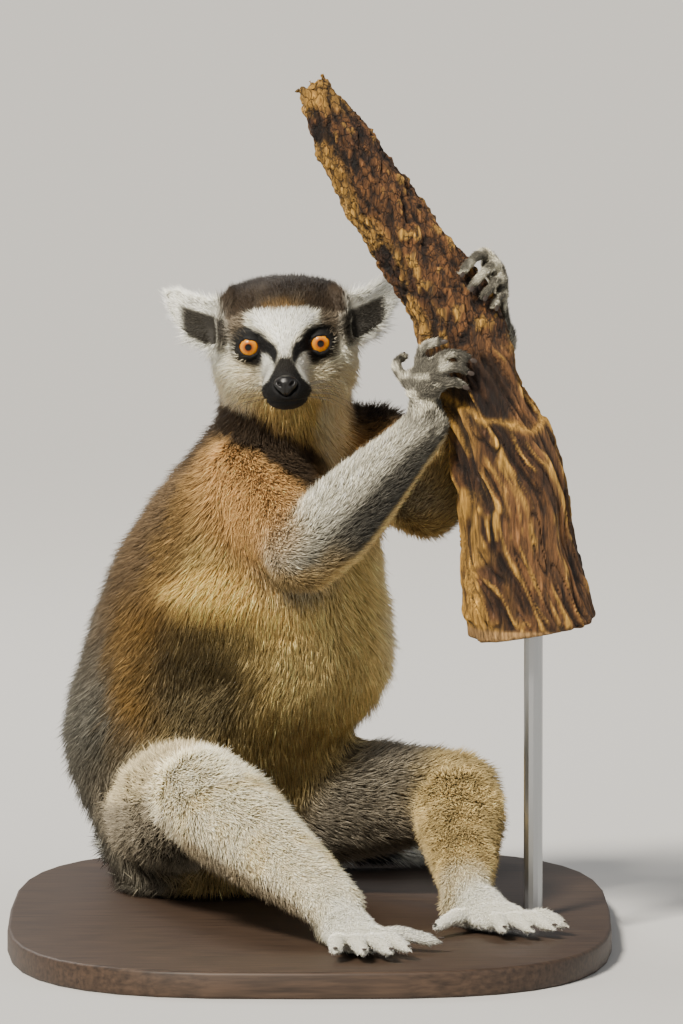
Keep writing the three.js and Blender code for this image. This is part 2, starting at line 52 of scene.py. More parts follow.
# ------------------------------------------------------------------ display board
# A plain board of dark stained hardwood with an eased edge, which the animal sits on. It is sawn from one
# piece, and a blind hole in it takes the foot of the rod.
def new_mesh_object(name, mesh):
    made = bpy.data.objects.new(name, mesh)
    bpy.context.collection.objects.link(made)
    return made


def joined_copy(name, nodes, growth=None):
    """One mesh of copies of CAD nodes. growth gives how far each point of a node moves out, in mm."""
    both = bmesh.new()
    for node in nodes:
        one = bmesh.new()
        one.from_mesh(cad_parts[node].data)
        bmesh.ops.remove_doubles(one, verts=one.verts, dist=1e-6)
        one.normal_update()
        if growth:
            places = np.array([v.co[:] for v in one.verts]) / MM
            normals = np.array([v.normal[:] for v in one.verts])
            for vertex, step in zip(one.verts, normals * growth(node, places)[:, None] * MM):
                vertex.co = [c + s for c, s in zip(vertex.co, step)]
        part = bpy.data.meshes.new("part")
        one.to_mesh(part)
        both.from_mesh(part)
        one.free()
        bpy.data.meshes.remove(part)
    mesh = bpy.data.meshes.new(name)
    both.to_mesh(mesh)
    both.free()
    return new_mesh_object(name, mesh)


def apply_modifier(piece, kind, **settings):
    """Adds a modifier, sets it and applies it."""
    modifier = piece.modifiers.new(kind.title(), kind)
    for key, value in settings.items():
        setattr(modifier, key, value)
    bpy.context.view_layer.objects.active = piece
    bpy.ops.object.modifier_apply(modifier=modifier.name)


def set_sockets(node, values):
    """Sets a node's sockets by their names, with _ for a space."""
    for key, value in values.items():
        node.inputs[key.replace("_", " ")].default_value = value
    return node


def add_node(shader, kind, **values):
    """A node beside a material's shader."""
    return set_sockets(shader.id_data.nodes.new("ShaderNode" + kind), values)


def wire(source, out, target, into):
    source.id_data.links.new(source.outputs[out], target.inputs[into])


def material(name, roughness, colour=(0.5, 0.5, 0.5), **sockets):
    """A principled material. Other sockets are given by their names, with _ for a space."""
    made = bpy.data.materials.new(name)
    made.use_nodes = True
    shader = made.node_tree.nodes["Principled BSDF"]
    set_sockets(shader, {"Base Color": (*colour, 1), "Roughness": roughness, **sockets})
    return made, shader


def add_bump(shader, scale, strength, distance, detail=6.0, stretch=(1, 1, 1)):
    """Fine relief from noise in the object's own coordinates. scale counts grains per metre."""
    where = add_node(shader, "TexCoord")
    squeeze = add_node(shader, "Mapping", Scale=stretch)
    grain = add_node(shader, "TexNoise", Scale=scale, Detail=detail)
    relief = add_node(shader, "Bump", Strength=strength, Distance=distance)
    wire(where, "Object", squeeze, "Vector")
    wire(squeeze, "Vector", grain, "Vector")
    wire(grain, "Fac", relief, "Height")
    wire(relief, "Normal", shader, "Normal")
    return grain


def shade_by_angle(piece):
    piece.select_set(True)
    bpy.context.view_layer.objects.active = piece
    bpy.ops.object.shade_smooth_by_angle(angle=math.radians(35))
    piece.select_set(False)


def dress(piece, finish, slot, *replaced):
    """Gives a piece its material and its place in the frame, and hides the CAD nodes that it stands for. The
    slot is not used.
    """
    piece.data.materials.clear()
    piece.data.materials.append(finish)
    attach(piece, "root")
    if replaced:
        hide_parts(*replaced)


board = joined_copy("board", ["stand_base"])
apply_modifier(board, "BEVEL", width=1.8 * MM, segments=3, angle_limit=math.radians(50))
board_finish, shader = material("Board", 0.55, Specular_IOR_Level=0.35)
board_grain = add_bump(shader, scale=60, strength=0.1, distance=0.0003, stretch=(0.5, 7, 7))
stain = add_node(shader, "ValToRGB")
stain.color_ramp.elements[0].position = 0.32
stain.color_ramp.elements[0].color = (0.022, 0.013, 0.008, 1)
stain.color_ramp.elements[1].position = 0.68
stain.color_ramp.elements[1].color = (0.060, 0.036, 0.022, 1)
wire(board_grain, "Fac", stain, "Fac")
wire(stain, "Color", shader, "Base Color")
shade_by_angle(board)
dress(board, board_finish, "board_wood", "stand_base")

# ------------------------------------------------------------------ rod
# A plain round rod of brushed steel that holds the wood up. Its foot is let into the board, and its top into
# the sawn end of the wood.
rod_finish, shader = material("Rod", 0.34, colour=(0.42, 0.43, 0.44), Metallic=1.0)
add_bump(shader, scale=1500, strength=0.05, distance=0.0001, stretch=(1, 1, 0.03))
rod = joined_copy("rod", ["stand_rod"])
shade_by_angle(rod)
dress(rod, rod_finish, "rod_steel", "stand_rod")


# ------------------------------------------------------------------ dead wood
# A weathered trunk: scaly bark with cracks above the hands, bare twisted grain below them, and between them
# the torn edge of an outer layer. Its lower end is sawn flat.
def ramp(low, high, x):
    """A smooth step from 0 at low to 1 at high."""
    t = np.clip((x - low) / (high - low), 0, 1)
    return t * t * (3 - 2 * t)


def mix(a, b, share):
    """Rows of a turned into b by a share from 0 to 1."""
    share = np.asarray(share)[..., None]
    return np.asarray(a) * (1 - share) + np.asarray(b) * share


def unit(v):
    """Vectors scaled to length 1, one per row."""
    return v / np.maximum(np.linalg.norm(v, axis=-1, keepdims=True), 1e-9)


def at(*xyz):
    return np.array(xyz, dtype=float)


LATTICE = rng.random((32, 32, 32))


def noise(points, size, shift=0.0):
    """Smooth noise from 0 to 1 whose grains are about size wide."""
    q = points / size + shift
    cell = np.floor(q).astype(int)
    part = q - cell
    part = part * part * (3 - 2 * part)
    total = np.zeros(len(points))
    for corner in np.ndindex(2, 2, 2):
        weight = np.prod(np.where(np.array(corner), part, 1 - part), axis=1)
        x, y, z = ((cell + corner) % 32).T
        total += weight * LATTICE[x, y, z]
    return total


def read_rows(items, key, width, kind=np.float32):
    """One property of all the items of a mesh, a row for each."""
    values = np.empty(len(items) * width, dtype=kind)
    items.foreach_get(key, values)
    return values.reshape(-1, width)


def points_of(piece):
    return read_rows(piece.data.vertices, "co", 3).astype(float) / MM


def set_points(piece, points):
    piece.data.vertices.foreach_set("co", (points * MM).astype(np.float32).ravel())
    piece.data.update()


def normals_of(piece):
    return read_rows(piece.data.vertex_normals, "vector", 3).astype(float)


def edges_of(piece):
    return read_rows(piece.data.edges, "vertices", 2, np.int32)


def relax(values, edges, times, share=0.5):
    """Values at the points of a mesh, each drawn to the mean of its neighbours, as often as asked."""
    a, b = edges.T
    count = np.maximum(np.bincount(edges.ravel(), minlength=len(values)), 1)[:, None]
    share = np.broadcast_to(share, len(values))[:, None]
    for _ in range(times):
        total = [np.bincount(a, v[b], len(v)) + np.bincount(b, v[a], len(v)) for v in values.T]
        values = values + share * (np.stack(total, axis=1) / count - values)
    return values


def store_colour(piece, name, colours, alpha=1.0):
    rgba = np.ones((len(colours), 4), dtype=np.float32)
    rgba[:, :3] = np.clip(colours, 0, 1)
    rgba[:, 3] = alpha
    piece.data.color_attributes.new(name, "FLOAT_COLOR", "POINT").data.foreach_set("color", rgba.ravel())


def read_colour(shader, attribute):
    reader = add_node(shader, "VertexColor")
    reader.layer_name = attribute
    wire(reader, "Color", shader, "Base Color")


def shade_smooth(piece):
    piece.data.polygons.foreach_set("use_smooth", np.ones(len(piece.data.polygons), dtype=bool))


# Height and x of the wood's axis, from its broken tip down.
WOOD_HEIGHT = [168, 206, 244, 272, 294, 315, 339, 372, 400, 422, 441, 454]
WOOD_X = [119, 112, 107, 101, 91, 84, 77, 53, 36, 21, 10, 3]
WOOD_Y = -47
BARK_ENDS = 322  # height below which the bark is gone
SAWN = 168.0
wood = joined_copy("dead_wood", ["perch"])
apply_modifier(wood, "REMESH", mode="VOXEL", voxel_size=1.0 * MM)
place = points_of(wood)
edges = edges_of(wood)
place = relax(place, edges, 14, 0.5)
set_points(wood, place)
height = place[:, 2]
around = np.arctan2(place[:, 1] - WOOD_Y, place[:, 0] - np.interp(height, WOOD_HEIGHT, WOOD_X))
# The grain runs along the wood and winds slowly round it, bent by noise as if by old knots.
bend = 0.5 * (noise(place, 30, 3.0) - 0.5)
winding = around + height / 110 + bend
along = np.stack([15 * np.cos(winding), 15 * np.sin(winding), height / 12], axis=1)
crest_wide = 1 - 2 * np.abs(noise(along, 4.2) - 0.5)
crest_fine = 1 - 2 * np.abs(noise(along, 1.7, 7.0) - 0.5)
strands = 0.48 * crest_wide + 0.32 * crest_fine + 0.20 * noise(along, 0.8, 3.0)
furrow = 1 - ramp(0.0, 0.06, np.abs(noise(along, 2.6, 20.0) - 0.5))
upright = place * [1, 1, 0.5]
flakes = 0.40 * noise(upright, 7, 2.0) + 0.35 * noise(upright, 3.4, 4.0) + 0.25 * noise(upright, 1.7)
crack = 1 - ramp(0.0, 0.05, np.abs(noise(upright, 5.0, 9.0) - 0.5))
edge_line = 286 + 9 * np.sin(around - 1.0) + 6 * (noise(place, 9, 8.0) - 0.5)
layer = ramp(edge_line + 1.5, edge_line - 1.5, height)
bark = ramp(BARK_ENDS - 14, BARK_ENDS + 12, height + 22 * (noise(place, 11, 5.0) - 0.5))
relief = (1 - bark) * (9.0 * (strands - 0.72) - 1.6 * furrow) + bark * (8.0 * (flakes - 0.55) - 1.4 * crack)
relief += 1.8 * layer - 0.9
relief *= ramp(SAWN + 0.5, SAWN + 6, height)
set_points(wood, place + normals_of(wood) * relief[:, None])
# The furrows and cracks, which the relief sinks, are painted near black: their own dark, and painted shade in
# the hollows.
deep = np.maximum(ramp(0.66, 0.50, strands), furrow) * (1 - bark)
deep += np.maximum(ramp(0.46, 0.34, flakes), crack) * bark
streak = ramp(0.35, 0.7, noise(along, 4.5, 12.0))
ochre = at(0.60, 0.355, 0.085)
bare = mix(at(0.070, 0.033, 0.013), at(0.20, 0.100, 0.038), streak)
# The crests of the grain and the tops of the flakes are ochre: the wood's own ochre, and a painted highlight
# on the raised parts.
bare = mix(bare, ochre, 0.9 * ramp(0.77, 0.88, strands))
scaly = mix(at(0.070, 0.031, 0.012), at(0.18, 0.085, 0.030), streak)
scaly = mix(scaly, ochre, 0.9 * ramp(0.57, 0.72, flakes))
# The left side of the wood, towards the key light, is painted ochre in patches: a painted highlight of
# sunlight.
painted_sunlit_side = 0.7 * ramp(-0.2, -0.9, np.cos(around)) * ramp(0.35, 0.55, noise(place, 14, 6.0))
tone = mix(mix(bare, scaly, bark), ochre, painted_sunlit_side)
torn = np.exp(-(((height - edge_line) / 2.6) ** 2))
tone = mix(tone, ochre * 1.1, 0.7 * torn)
splinters = ramp(440, 452, height)
tone = mix(tone, ochre * 0.9, 0.6 * splinters)
tone = mix(tone, at(0.016, 0.008, 0.005), 0.88 * deep * (1 - 0.6 * torn))
tone = mix(tone, at(0.42, 0.26, 0.11), ramp(SAWN + 2.0, SAWN + 0.5, height))
store_colour(wood, "Wood", tone**1.15, bark)
wood_finish, shader = material("Dead_wood", 0.72, Specular_IOR_Level=0.35)
wood_tone = add_node(shader, "VertexColor")
wood_tone.layer_name = "Wood"
# Fine grain that follows the lean of the wood, and a net of small checks where the bark is left.
grain = add_bump(shader, scale=420, strength=0.8, distance=0.0014, detail=10, stretch=(1, 1, 0.10))
grain.inputs["Roughness"].default_value = 0.68
lean_turn = grain.inputs["Vector"].links[0].from_node
lean_turn.inputs["Rotation"].default_value = (0, math.radians(-13), 0)
checks = add_node(shader, "TexVoronoi", Scale=210)
checks.feature = "DISTANCE_TO_EDGE"
squash = add_node(shader, "Mapping", Rotation=(0, math.radians(28), 0), Scale=(1.25, 1.25, 0.7))
wire(lean_turn.inputs["Vector"].links[0].from_node, "Object", squash, "Vector")
ripple = add_node(shader, "TexNoise", Scale=260, Detail=4)
wire(squash, "Vector", ripple, "Vector")
wander = add_node(shader, "MixRGB", Fac=0.006)
wire(squash, "Vector", wander, "Color1")
wire(ripple, "Color", wander, "Color2")
wire(wander, "Color", checks, "Vector")
net = add_node(shader, "MapRange", From_Max=0.10, To_Min=0.12)
wire(checks, "Distance", net, "Value")
contrast = add_node(shader, "MapRange", From_Min=0.36, From_Max=0.62, To_Min=0.22, To_Max=1.45)
wire(grain, "Fac", contrast, "Value")
# The net shows by the share of bark, which the colour's alpha holds.
by_bark = add_node(shader, "Mix")
by_bark.data_type = "FLOAT"
by_bark.inputs[2].default_value = 1.0
wire(wood_tone, "Alpha", by_bark, 0)
wire(net, "Result", by_bark, 3)
together = add_node(shader, "Math")
together.operation = "MULTIPLY"
wire(contrast, "Result", together, 0)
wire(by_bark, 0, together, 1)
# The colour is scaled by the same value that sets the height of the relief, so the low grain and the checks
# are darker: the wood's own grain and painted shade in its hollows.
shaded = add_node(shader, "VectorMath")
shaded.operation = "SCALE"
wire(wood_tone, "Color", shaded, 0)
wire(together, "Value", shaded, "Scale")
wire(shaded, "Vector", shader, "Base Color")
wood_relief = shader.inputs["Normal"].links[0].from_node
wire(together, "Value", wood_relief, "Height")
shade_smooth(wood)
dress(wood, wood_finish, "dead_wood", "perch")

# ------------------------------------------------------------------ the animal's measures
# The joints of the skeleton as in the solids, and the head's own frame: x to its left, y to its back, z to
# its crown, with the origin between the eyes. Left and right are the animal's own.
FLOOR = 14.35  # just above the top of the board
HIP = {"right": at(-80, 55, 60), "left": at(-50, 94, 62)}
KNEE = {"right": at(-57, -83, 83), "left": at(79, 38, 71)}
ANKLE = {"right": at(15, -178, 35), "left": at(83, -86, 34)}
SHOULDER = {"right": at(-26, 14, 246), "left": at(34, 56, 255)}
ELBOW = {"right": at(-3, -53, 208), "left": at(63, -8, 232)}
WRIST = {"right": at(62, -60, 277), "left": at(99, -13, 321)}
PALM = {"right": at(60, -65, 302), "left": at(96.5, -46, 357)}
# Each finger's knuckle, bent joint and tip, the thumb last.
FINGERS = {
    "right": [
        [at(57.5, -69, 307), at(60, -76, 321), at(73.5, -77, 324)],
        [at(61, -72, 306), at(74, -80, 318), at(88, -77, 313)],
        [at(64, -73, 302), at(75, -79.5, 310.5), at(86.5, -76.5, 306.5)],
        [at(65, -72, 297), at(75, -77, 302.5), at(84, -75, 299)],
        [at(51, -62, 302), at(45, -62, 311), at(53.5, -51, 315)],
    ],
    "left": [
        [at(95.5, -48, 366), at(90, -59, 369), at(77.5, -71.5, 357)],
        [at(99, -50, 361), at(96.5, -61, 363), at(82.5, -73.5, 349.5)],
        [at(101, -50, 354), at(100, -61, 356), at(89.5, -72.5, 344.5)],
        [at(102, -48, 346), at(101.5, -59, 348), at(95.5, -70, 339)],
        [at(84, -14, 354), at(72, -18, 359), at(53.5, -24.5, 361)],
    ],
}
FOOT = {"right": {"heading": -70, "inner": 1}, "left": {"heading": -62, "inner": -1}}
# Each toe's start across the foot, its splay in degrees, its length and how far back it starts.
TOES = [(-14, -24, 30, 0), (-7, -9, 38, 0), (0, 3, 39, 0), (7, 15, 33, 0), (10, 62, 40, 16)]
TAIL = [
    at(-84, 100, 58), at(-98, 128, 44), at(-95, 160, 36), at(-64, 180, 36), at(-30, 186, 36),
    at(4, 182, 36), at(48, 184, 36), at(76, 200, 36), at(78, 226, 35), at(52, 241, 35),
    at(6, 240, 34), at(-42, 238, 33), at(-88, 236, 31), at(-118, 222, 29),
]
HEAD_ORIGIN = at(-13.5, -12, 318.5)
HEAD_PITCH = math.radians(4)
HEAD_ROLL = math.radians(3)
NOSE_REACH = 43
NOSE_LEVEL = -17
pitch_turn = np.array([
    [1, 0, 0],
    [0, math.cos(HEAD_PITCH), -math.sin(HEAD_PITCH)],
    [0, math.sin(HEAD_PITCH), math.cos(HEAD_PITCH)],
])
roll_turn = np.array([
    [math.cos(HEAD_ROLL), 0, -math.sin(HEAD_ROLL)],
    [0, 1, 0],
    [math.sin(HEAD_ROLL), 0, math.cos(HEAD_ROLL)],
])
HEAD_AXES = pitch_turn @ roll_turn


def on_head(x, y, z):
    return HEAD_ORIGIN + HEAD_AXES @ at(x, y, z)


def to_head(points):
    return (points - HEAD_ORIGIN) @ HEAD_AXES


def from_head(points):
    return points @ HEAD_AXES.T + HEAD_ORIGIN


def level_way(degrees):
    return at(math.cos(math.radians(degrees)), math.sin(math.radians(degrees)), 0)


def toe_ends(side):
    """The root and the tip of each toe, the great toe last."""
    heading, inner = FOOT[side]["heading"], FOOT[side]["inner"]
    heel = at(ANKLE[side][0], ANKLE[side][1], FLOOR)
    ends = []
    for start, splay, length, back in TOES:
        root = heel + (40 - back) * level_way(heading) + start * level_way(heading + 90 * inner)
        tip = root + length * level_way(heading + splay * inner)
        ends.append((root + at(0, 0, 8.5), tip + at(0, 0, 4)))
    return ends


# ------------------------------------------------------------------ regions of the coat
# Each region is a chain of rounded lengths from where its hair starts to where it ends, with the depth of the
# coat at both ends, how steeply the hair stands, the width of a tuft and the space between tufts.
REGIONS = {}


def region(name, chain, radii, depth, lift, width, space):
    REGIONS[name] = {
        "chain": [np.asarray(p, dtype=float) for p in chain], "radii": radii, "depth": depth,
        "lift": lift, "width": width, "space": space,
    }


region("head", [on_head(0, -26, -17), on_head(0, 0, -4), on_head(0, 22, 5)], [13, 26, 33],
       (0.9, 3.6), 31, 0.5, 0.64)
region("neck", [on_head(0, 24, -18), at(-14, 44, 258)], [34, 42], (6.0, 6.5), 38, 0.72, 1.0)
region("trunk", [at(-22, 46, 250), at(-32, 52, 205), at(-41, 66, 140), at(-62, 79, 60)], [46, 68, 84, 60],
       (6.5, 8.0), 40, 0.75, 1.17)
for side in ("right", "left"):
    s = 1 if side == "left" else -1
    region("ear_" + side, [on_head(30 * s, 17, 9), on_head(47 * s, 19, 13.5), on_head(64 * s, 20.6, 24)],
           [16, 14, 6], (1.2, 1.6), 22, 0.5, 0.72)
    region("upper_arm_" + side, [SHOULDER[side], ELBOW[side]], [33, 24], (6.0, 4.6), 38, 0.7, 1.0)
    region("forearm_" + side, [ELBOW[side], WRIST[side]], [23, 13], (4.6, 2.4), 38, 0.66, 0.92)
    region("hand_" + side, [WRIST[side], PALM[side]], [12, 10], (2.2, 1.3), 32, 0.6, 0.75)
    for i, joints in enumerate(FINGERS[side]):
        region(f"finger_{side}_{i}", joints, [4.4, 4.2, 3.6], (1.6, 1.0), 28, 0.5, 0.68)
    region("thigh_" + side, [HIP[side], KNEE[side]], [40, 30], (7.5, 6), 38, 0.8, 1.15)
    region("shin_" + side, [KNEE[side], ANKLE[side]], [30, 16], (6, 3.0), 38, 0.75, 1.04)
    ball = at(ANKLE[side][0], ANKLE[side][1], FLOOR + 8) + 34 * level_way(FOOT[side]["heading"])
    region("foot_" + side, [ANKLE[side], ball], [14, 16], (2.8, 1.8), 32, 0.66, 0.88)
    for i, ends in enumerate(toe_ends(side)):
        region(f"toe_{side}_{i}", ends, [7, 4.4], (1.8, 1.0), 30, 0.52, 0.76)
region("tail", TAIL, [22] * len(TAIL), (7.5, 7.5), 44, 0.85, 1.16)
NAMES = list(REGIONS)
HEAD_ROW = NAMES.index("head")


def read_regions(points):
    """For each point: its share in every region, how far along each it lies, and which way the hair runs."""
    gaps = np.empty((len(NAMES), len(points)))
    places = np.zeros((len(NAMES), len(points)))
    ways = np.zeros((len(NAMES), len(points), 3))
    for row, name in enumerate(NAMES):
        chain, radii = REGIONS[name]["chain"], REGIONS[name]["radii"]
        nearest = np.full(len(points), 1e9)
        for i in range(len(chain) - 1):
            length = chain[i + 1] - chain[i]
            t = np.clip((points - chain[i]) @ length / (length @ length), 0, 1)
            gap = np.linalg.norm(points - chain[i] - t[:, None] * length, axis=1)
            gap -= radii[i] + (radii[i + 1] - radii[i]) * t
            closer = gap < nearest
            nearest[closer] = gap[closer]
            places[row][closer] = (i + t[closer]) / (len(chain) - 1)
            ways[row][closer] = unit(length)
            if name.startswith("ear") and closer.any():
                # Hair on the ears also runs out from the middle line to the rim.
                out = points[closer] - chain[i] - t[closer][:, None] * length
                ways[row][closer] += 0.085 * out
        gaps[row] = nearest
    # Hair on the head runs back from the nose.
    local = to_head(points)
    from_nose = local - at(0, -NOSE_REACH - 4, NOSE_LEVEL)
    from_nose[:, 2] -= 0.35 * np.maximum(0, -local[:, 2] - 14)
    ways[HEAD_ROW] = unit(from_nose) @ HEAD_AXES.T
    shares = np.exp(-(gaps - gaps.min(axis=0)) / 3.0)
    shares /= shares.sum(axis=0)
    flow = sum(shares[row][:, None] * ways[row] for row in range(len(NAMES)))
    return shares, places, unit(flow)


def share_of(shares, *starts):
    """Each point's share in the regions whose names start so."""
    return sum(shares[row] for row, name in enumerate(NAMES) if name.startswith(starts))


def ear_middles(side, places):
    """For each point, the place beside it on the middle line of an ear."""
    along_ear = places[NAMES.index("ear_" + side)]
    chain = np.array(REGIONS["ear_" + side]["chain"])
    return np.stack([np.interp(along_ear, np.linspace(0, 1, 3), axis) for axis in chain.T], axis=1)


def blended(shares, places, key):
    """A measure that the regions give, either one number or one at each end, mixed by their shares."""
    total = np.zeros(shares.shape[1])
    for row, name in enumerate(NAMES):
        value = REGIONS[name][key]
        start, end = value if isinstance(value, tuple) else (value, value)
        total += shares[row] * (start + (end - start) * places[row])
    return total


# ------------------------------------------------------------------ colours of the coat
# The markings of the species, as functions of place: black eye patches, muzzle and tail rings, white brow,
# cheeks, ears and feet, a grizzled crown, a brown and grey back with tan shoulders, and a straw belly.
WHITE = at(0.88, 0.87, 0.77)
CREAM = at(0.80, 0.65, 0.34)
STRAW = at(0.56, 0.42, 0.17)
GOLD = at(0.70, 0.44, 0.12)
TAN = at(0.60, 0.385, 0.165)
BROWN = at(0.135, 0.085, 0.042)
GREY = at(0.175, 0.165, 0.135)
SILVER = at(0.56, 0.53, 0.43)
CHARCOAL = at(0.032, 0.027, 0.021)
BLACK = at(0.008, 0.0075, 0.0075)
EYE_SIDE = 18.5  # from the middle of the face to the middle of an eye


def blob(x, z, centre, radii, soft=0.35):
    """1 inside an ellipse and 0 outside, with a soft edge."""
    far = np.hypot((x - centre[0]) / radii[0], (z - centre[1]) / radii[1])
    return 1 - ramp(1 - soft / 2, 1 + soft / 2, far)


def head_colour(local, wobble):
    """The face and the crown, in the head's frame."""
    x, y, z = local.T
    level = z
    z = z + 2.0 * (wobble - 0.5)
    wide = np.abs(x) + 2.0 * (wobble - 0.5)
    colour = mix(WHITE, CREAM, 0.15)
    # Yellower cheeks and throat, and painted shade of grey-yellow under the eyes.
    colour = mix(colour, mix(CREAM, STRAW, 0.3), 0.6 * ramp(-20, -36, z) * ramp(-26, -10, y))
    colour = mix(colour, mix(STRAW, GREY, 0.4), 0.4 * blob(wide, z, (21, -13), (7, 7), 1.0) * ramp(12, 2, y))
    # Crown and back of the head, and the temples down to the eyes.
    crown = np.maximum(ramp(19.5, 22.5, z + 0.006 * wide**2), ramp(14, 24, y) * ramp(-4, 8, z))
    temple = ramp(18.5, 22.5, wide) * ramp(-1, 5, z) * ramp(40, 28, y)
    dark = mix(mix(CHARCOAL, BROWN, 0.3), mix(BROWN, GOLD, 0.22), ramp(28, 22, z) * ramp(16, 3, wide))
    dark = mix(dark, mix(GREY, BROWN, 0.4), 0.4 * ramp(0.5, 0.8, wobble))
    colour = mix(colour, mix(BROWN, GREY, 0.3), 0.9 * temple)
    colour = mix(colour, dark, crown)
    colour = mix(colour, mix(GREY, BROWN, 0.3), ramp(22, 36, y) * ramp(-34, -6, z))
    # Black surrounds of the eyes, which reach in towards the nose.
    front = ramp(16, 8, y)
    patch = blob(wide, z, (EYE_SIDE - 0.5, -0.6), (10.6, 10.4), 0.45)
    patch = np.maximum(patch, blob(wide, z, (10.5, -2.8), (7.3, 7.2), 0.45))
    patch = np.maximum(patch, 0.75 * blob(wide, z, (8.5, -8.5), (4, 5), 0.6))
    colour = mix(colour, BLACK * 1.6, patch * front)
    # White brow, which narrows to a line between the eyes.
    brow_half = np.interp(z, [-6, 0, 5, 9, 12, 16, 20], [0.5, 2.4, 5.0, 9.5, 16, 18.5, 15])
    brow = ramp(brow_half + 1.2, brow_half - 1.2, wide) * ramp(21.5, 19.5, z) * ramp(-6, -3, z)
    colour = mix(colour, WHITE * 1.05, brow * ramp(14, 6, y))
    # White sides of the muzzle, dark bridge that widens down to the black lips and chin. Above the nose the
    # bridge is charcoal rather than black, as painted sheen on its glossy short hair.
    side = blob(wide, z, (12.5, -12), (7, 9), 0.4) * ramp(-9, -14, y)
    colour = mix(colour, WHITE, side)
    heights = [-35, -32, -29, -24, -19, -15, -11, -7, -3]
    half = np.interp(level, heights, [3, 9, 13.5, 15.5, 13.5, 9.5, 7, 4.6, 2.2])
    mask = ramp(half + 0.9, half - 0.9, np.abs(x)) * ramp(-36, -34.5, level) * ramp(-2.5, -5, level)
    mask *= ramp(-11, -15, y + 0.35 * np.maximum(-level - 12, 0))
    return mix(colour, mix(BLACK, CHARCOAL, 0.9 * ramp(-15, -7, level)), mask)


EAR_LENGTH = 36


def ear_colour(points, normals, wobble):
    """White outside and round the rim, dark grey in the cup."""
    local = to_head(points)
    facing = (normals @ HEAD_AXES)[:, 1]
    out = np.abs(local[:, 0]) - 30
    u = np.clip(out / (EAR_LENGTH - 2), 0, 1)
    middle = 9 + 4.5 * u + 12 * u * u - 4.5
    half = 15.5 * (1 - 0.25 * u) * np.sqrt(np.maximum(1 - u**4, 0.02))
    cup = ramp(0.72, 0.52, np.abs(local[:, 2] - middle) / half) * ramp(0.80, 0.66, u)
    cup *= ramp(0.1, -0.3, facing) * ramp(-2, 3, out)
    rooted = ramp(1, 9, out + 8 * (wobble - 0.5))
    colour = mix(WHITE, mix(CHARCOAL, GREY, 0.2), cup)
    return mix(head_colour(local, wobble), colour, np.maximum(rooted, cup))


# Heights of level slices of the trunk, the middle of each, and the way the belly faces there, in degrees.
SLICE_HEIGHTS = [8, 36, 64, 92, 120, 148, 176, 204, 232, 260, 288]
SLICE_X = [-57, -57, -63, -62, -47, -38, -36, -32, -25, -22, -20]
SLICE_Y = [76, 78, 79, 76, 70, 63, 57, 51, 46, 46, 46]
SLICE_FACING = [42, 42, 42, 42, 43, 45, 48, 51, 54, 54, 54]


def belly_angle(points):
    """The direction of a point round the trunk, in degrees from the middle of the back."""
    z = points[:, 2]
    middle = np.stack([np.interp(z, SLICE_HEIGHTS, SLICE_X), np.interp(z, SLICE_HEIGHTS, SLICE_Y)], axis=1)
    facing = np.radians(-np.interp(z, SLICE_HEIGHTS, SLICE_FACING))
    way = unit(points[:, :2] - middle)
    cosine = way[:, 0] * np.cos(facing) + way[:, 1] * np.sin(facing)
    return 180 - np.degrees(np.arccos(np.clip(cosine, -1, 1)))


def over_shoulders(points, colour, wobble):
    """Charcoal nape and yoke, and the tan of the near shoulder, which run over trunk, neck and arm alike."""
    x, y, z = points.T
    z = z + 6 * (wobble - 0.5)
    front = ramp(44, 22, y)
    colour = mix(colour, TAN, 0.95 * blob(x, z, (-33, 237), (31, 36), 0.8) * front)
    line = np.interp(x, [-80, -54, -28, 1, 22], [262, 277, 269, 252, 238])
    yoke = ramp(13, 6, np.abs(z - line)) * ramp(46, 30, y) * ramp(16, 0, x)
    nape = ramp(236, 268, z) * ramp(18, 44, y)
    return mix(colour, mix(CHARCOAL, BROWN, 0.4), np.maximum(yoke, nape))


def trunk_colour(points, wobble):
    """Brown upper back, grey rump, ochre flanks and a golden belly, with painted shade in the hollow behind
    the ribs and a painted highlight on the golden fold over it and on the chest.
    """
    x, y, z = points.T
    z = z + 7 * (wobble - 0.5)
    x = x + 7 * (noise(points, 8, 15.0) - 0.5)
    angle = belly_angle(points) + 24 * (wobble - 0.5)
    back = mix(mix(mix(BROWN, TAN, 0.25), GREY, 0.3), mix(GREY, SILVER, 0.12), ramp(190, 110, z))
    colour = mix(mix(GREY, SILVER, 0.12), back, ramp(5, 60, angle))
    colour = mix(colour, mix(mix(BROWN, GOLD, 0.4), GREY, 0.25), ramp(74, 94, angle) * ramp(70, 125, z))
    colour = mix(colour, mix(STRAW, CREAM, 0.25), ramp(96, 122, angle))
    colour = mix(colour, mix(CREAM, STRAW, 0.45), ramp(128, 156, angle))
    near = ramp(60, 40, y) * ramp(172, 140, angle)
    colour = mix(colour, mix(BROWN, GOLD, 0.45), 0.7 * blob(x, z, (-95, 144), (15, 34), 0.9) * near)
    # The hollow between flank and thigh is painted dark: painted shade.
    colour = mix(colour, mix(GREY, STRAW, 0.3) * 0.48, 0.9 * blob(x, z, (-60, 128), (31, 38), 1.1) * near)
    # The fold of the ribs and the chest under the arm are golden and made brighter still: their own gold and
    # a painted highlight.
    colour = mix(colour, mix(GOLD, CREAM, 0.4) * 1.2, 0.95 * blob(x, z, (-50, 183), (31, 15), 0.7) * near)
    colour = mix(colour, mix(GOLD, CREAM, 0.45) * 1.15, 0.9 * blob(x, z, (-2, 174), (28, 20), 0.9) * near)
    return mix(colour, mix(SILVER, CREAM, 0.35), ramp(34, 50, x) * ramp(60, 30, y))


def neck_colour(points, wobble):
    """Grey nape, pale sides and a straw-coloured throat."""
    local = to_head(points)
    angle = np.degrees(np.arctan2(np.abs(local[:, 0]), local[:, 1] - 18)) + 20 * (wobble - 0.5)
    colour = mix(mix(WHITE, CREAM, 0.4), mix(GREY, BROWN, 0.3), ramp(80, 50, angle))
    return mix(colour, mix(CREAM, STRAW, 0.75), ramp(110, 145, angle))


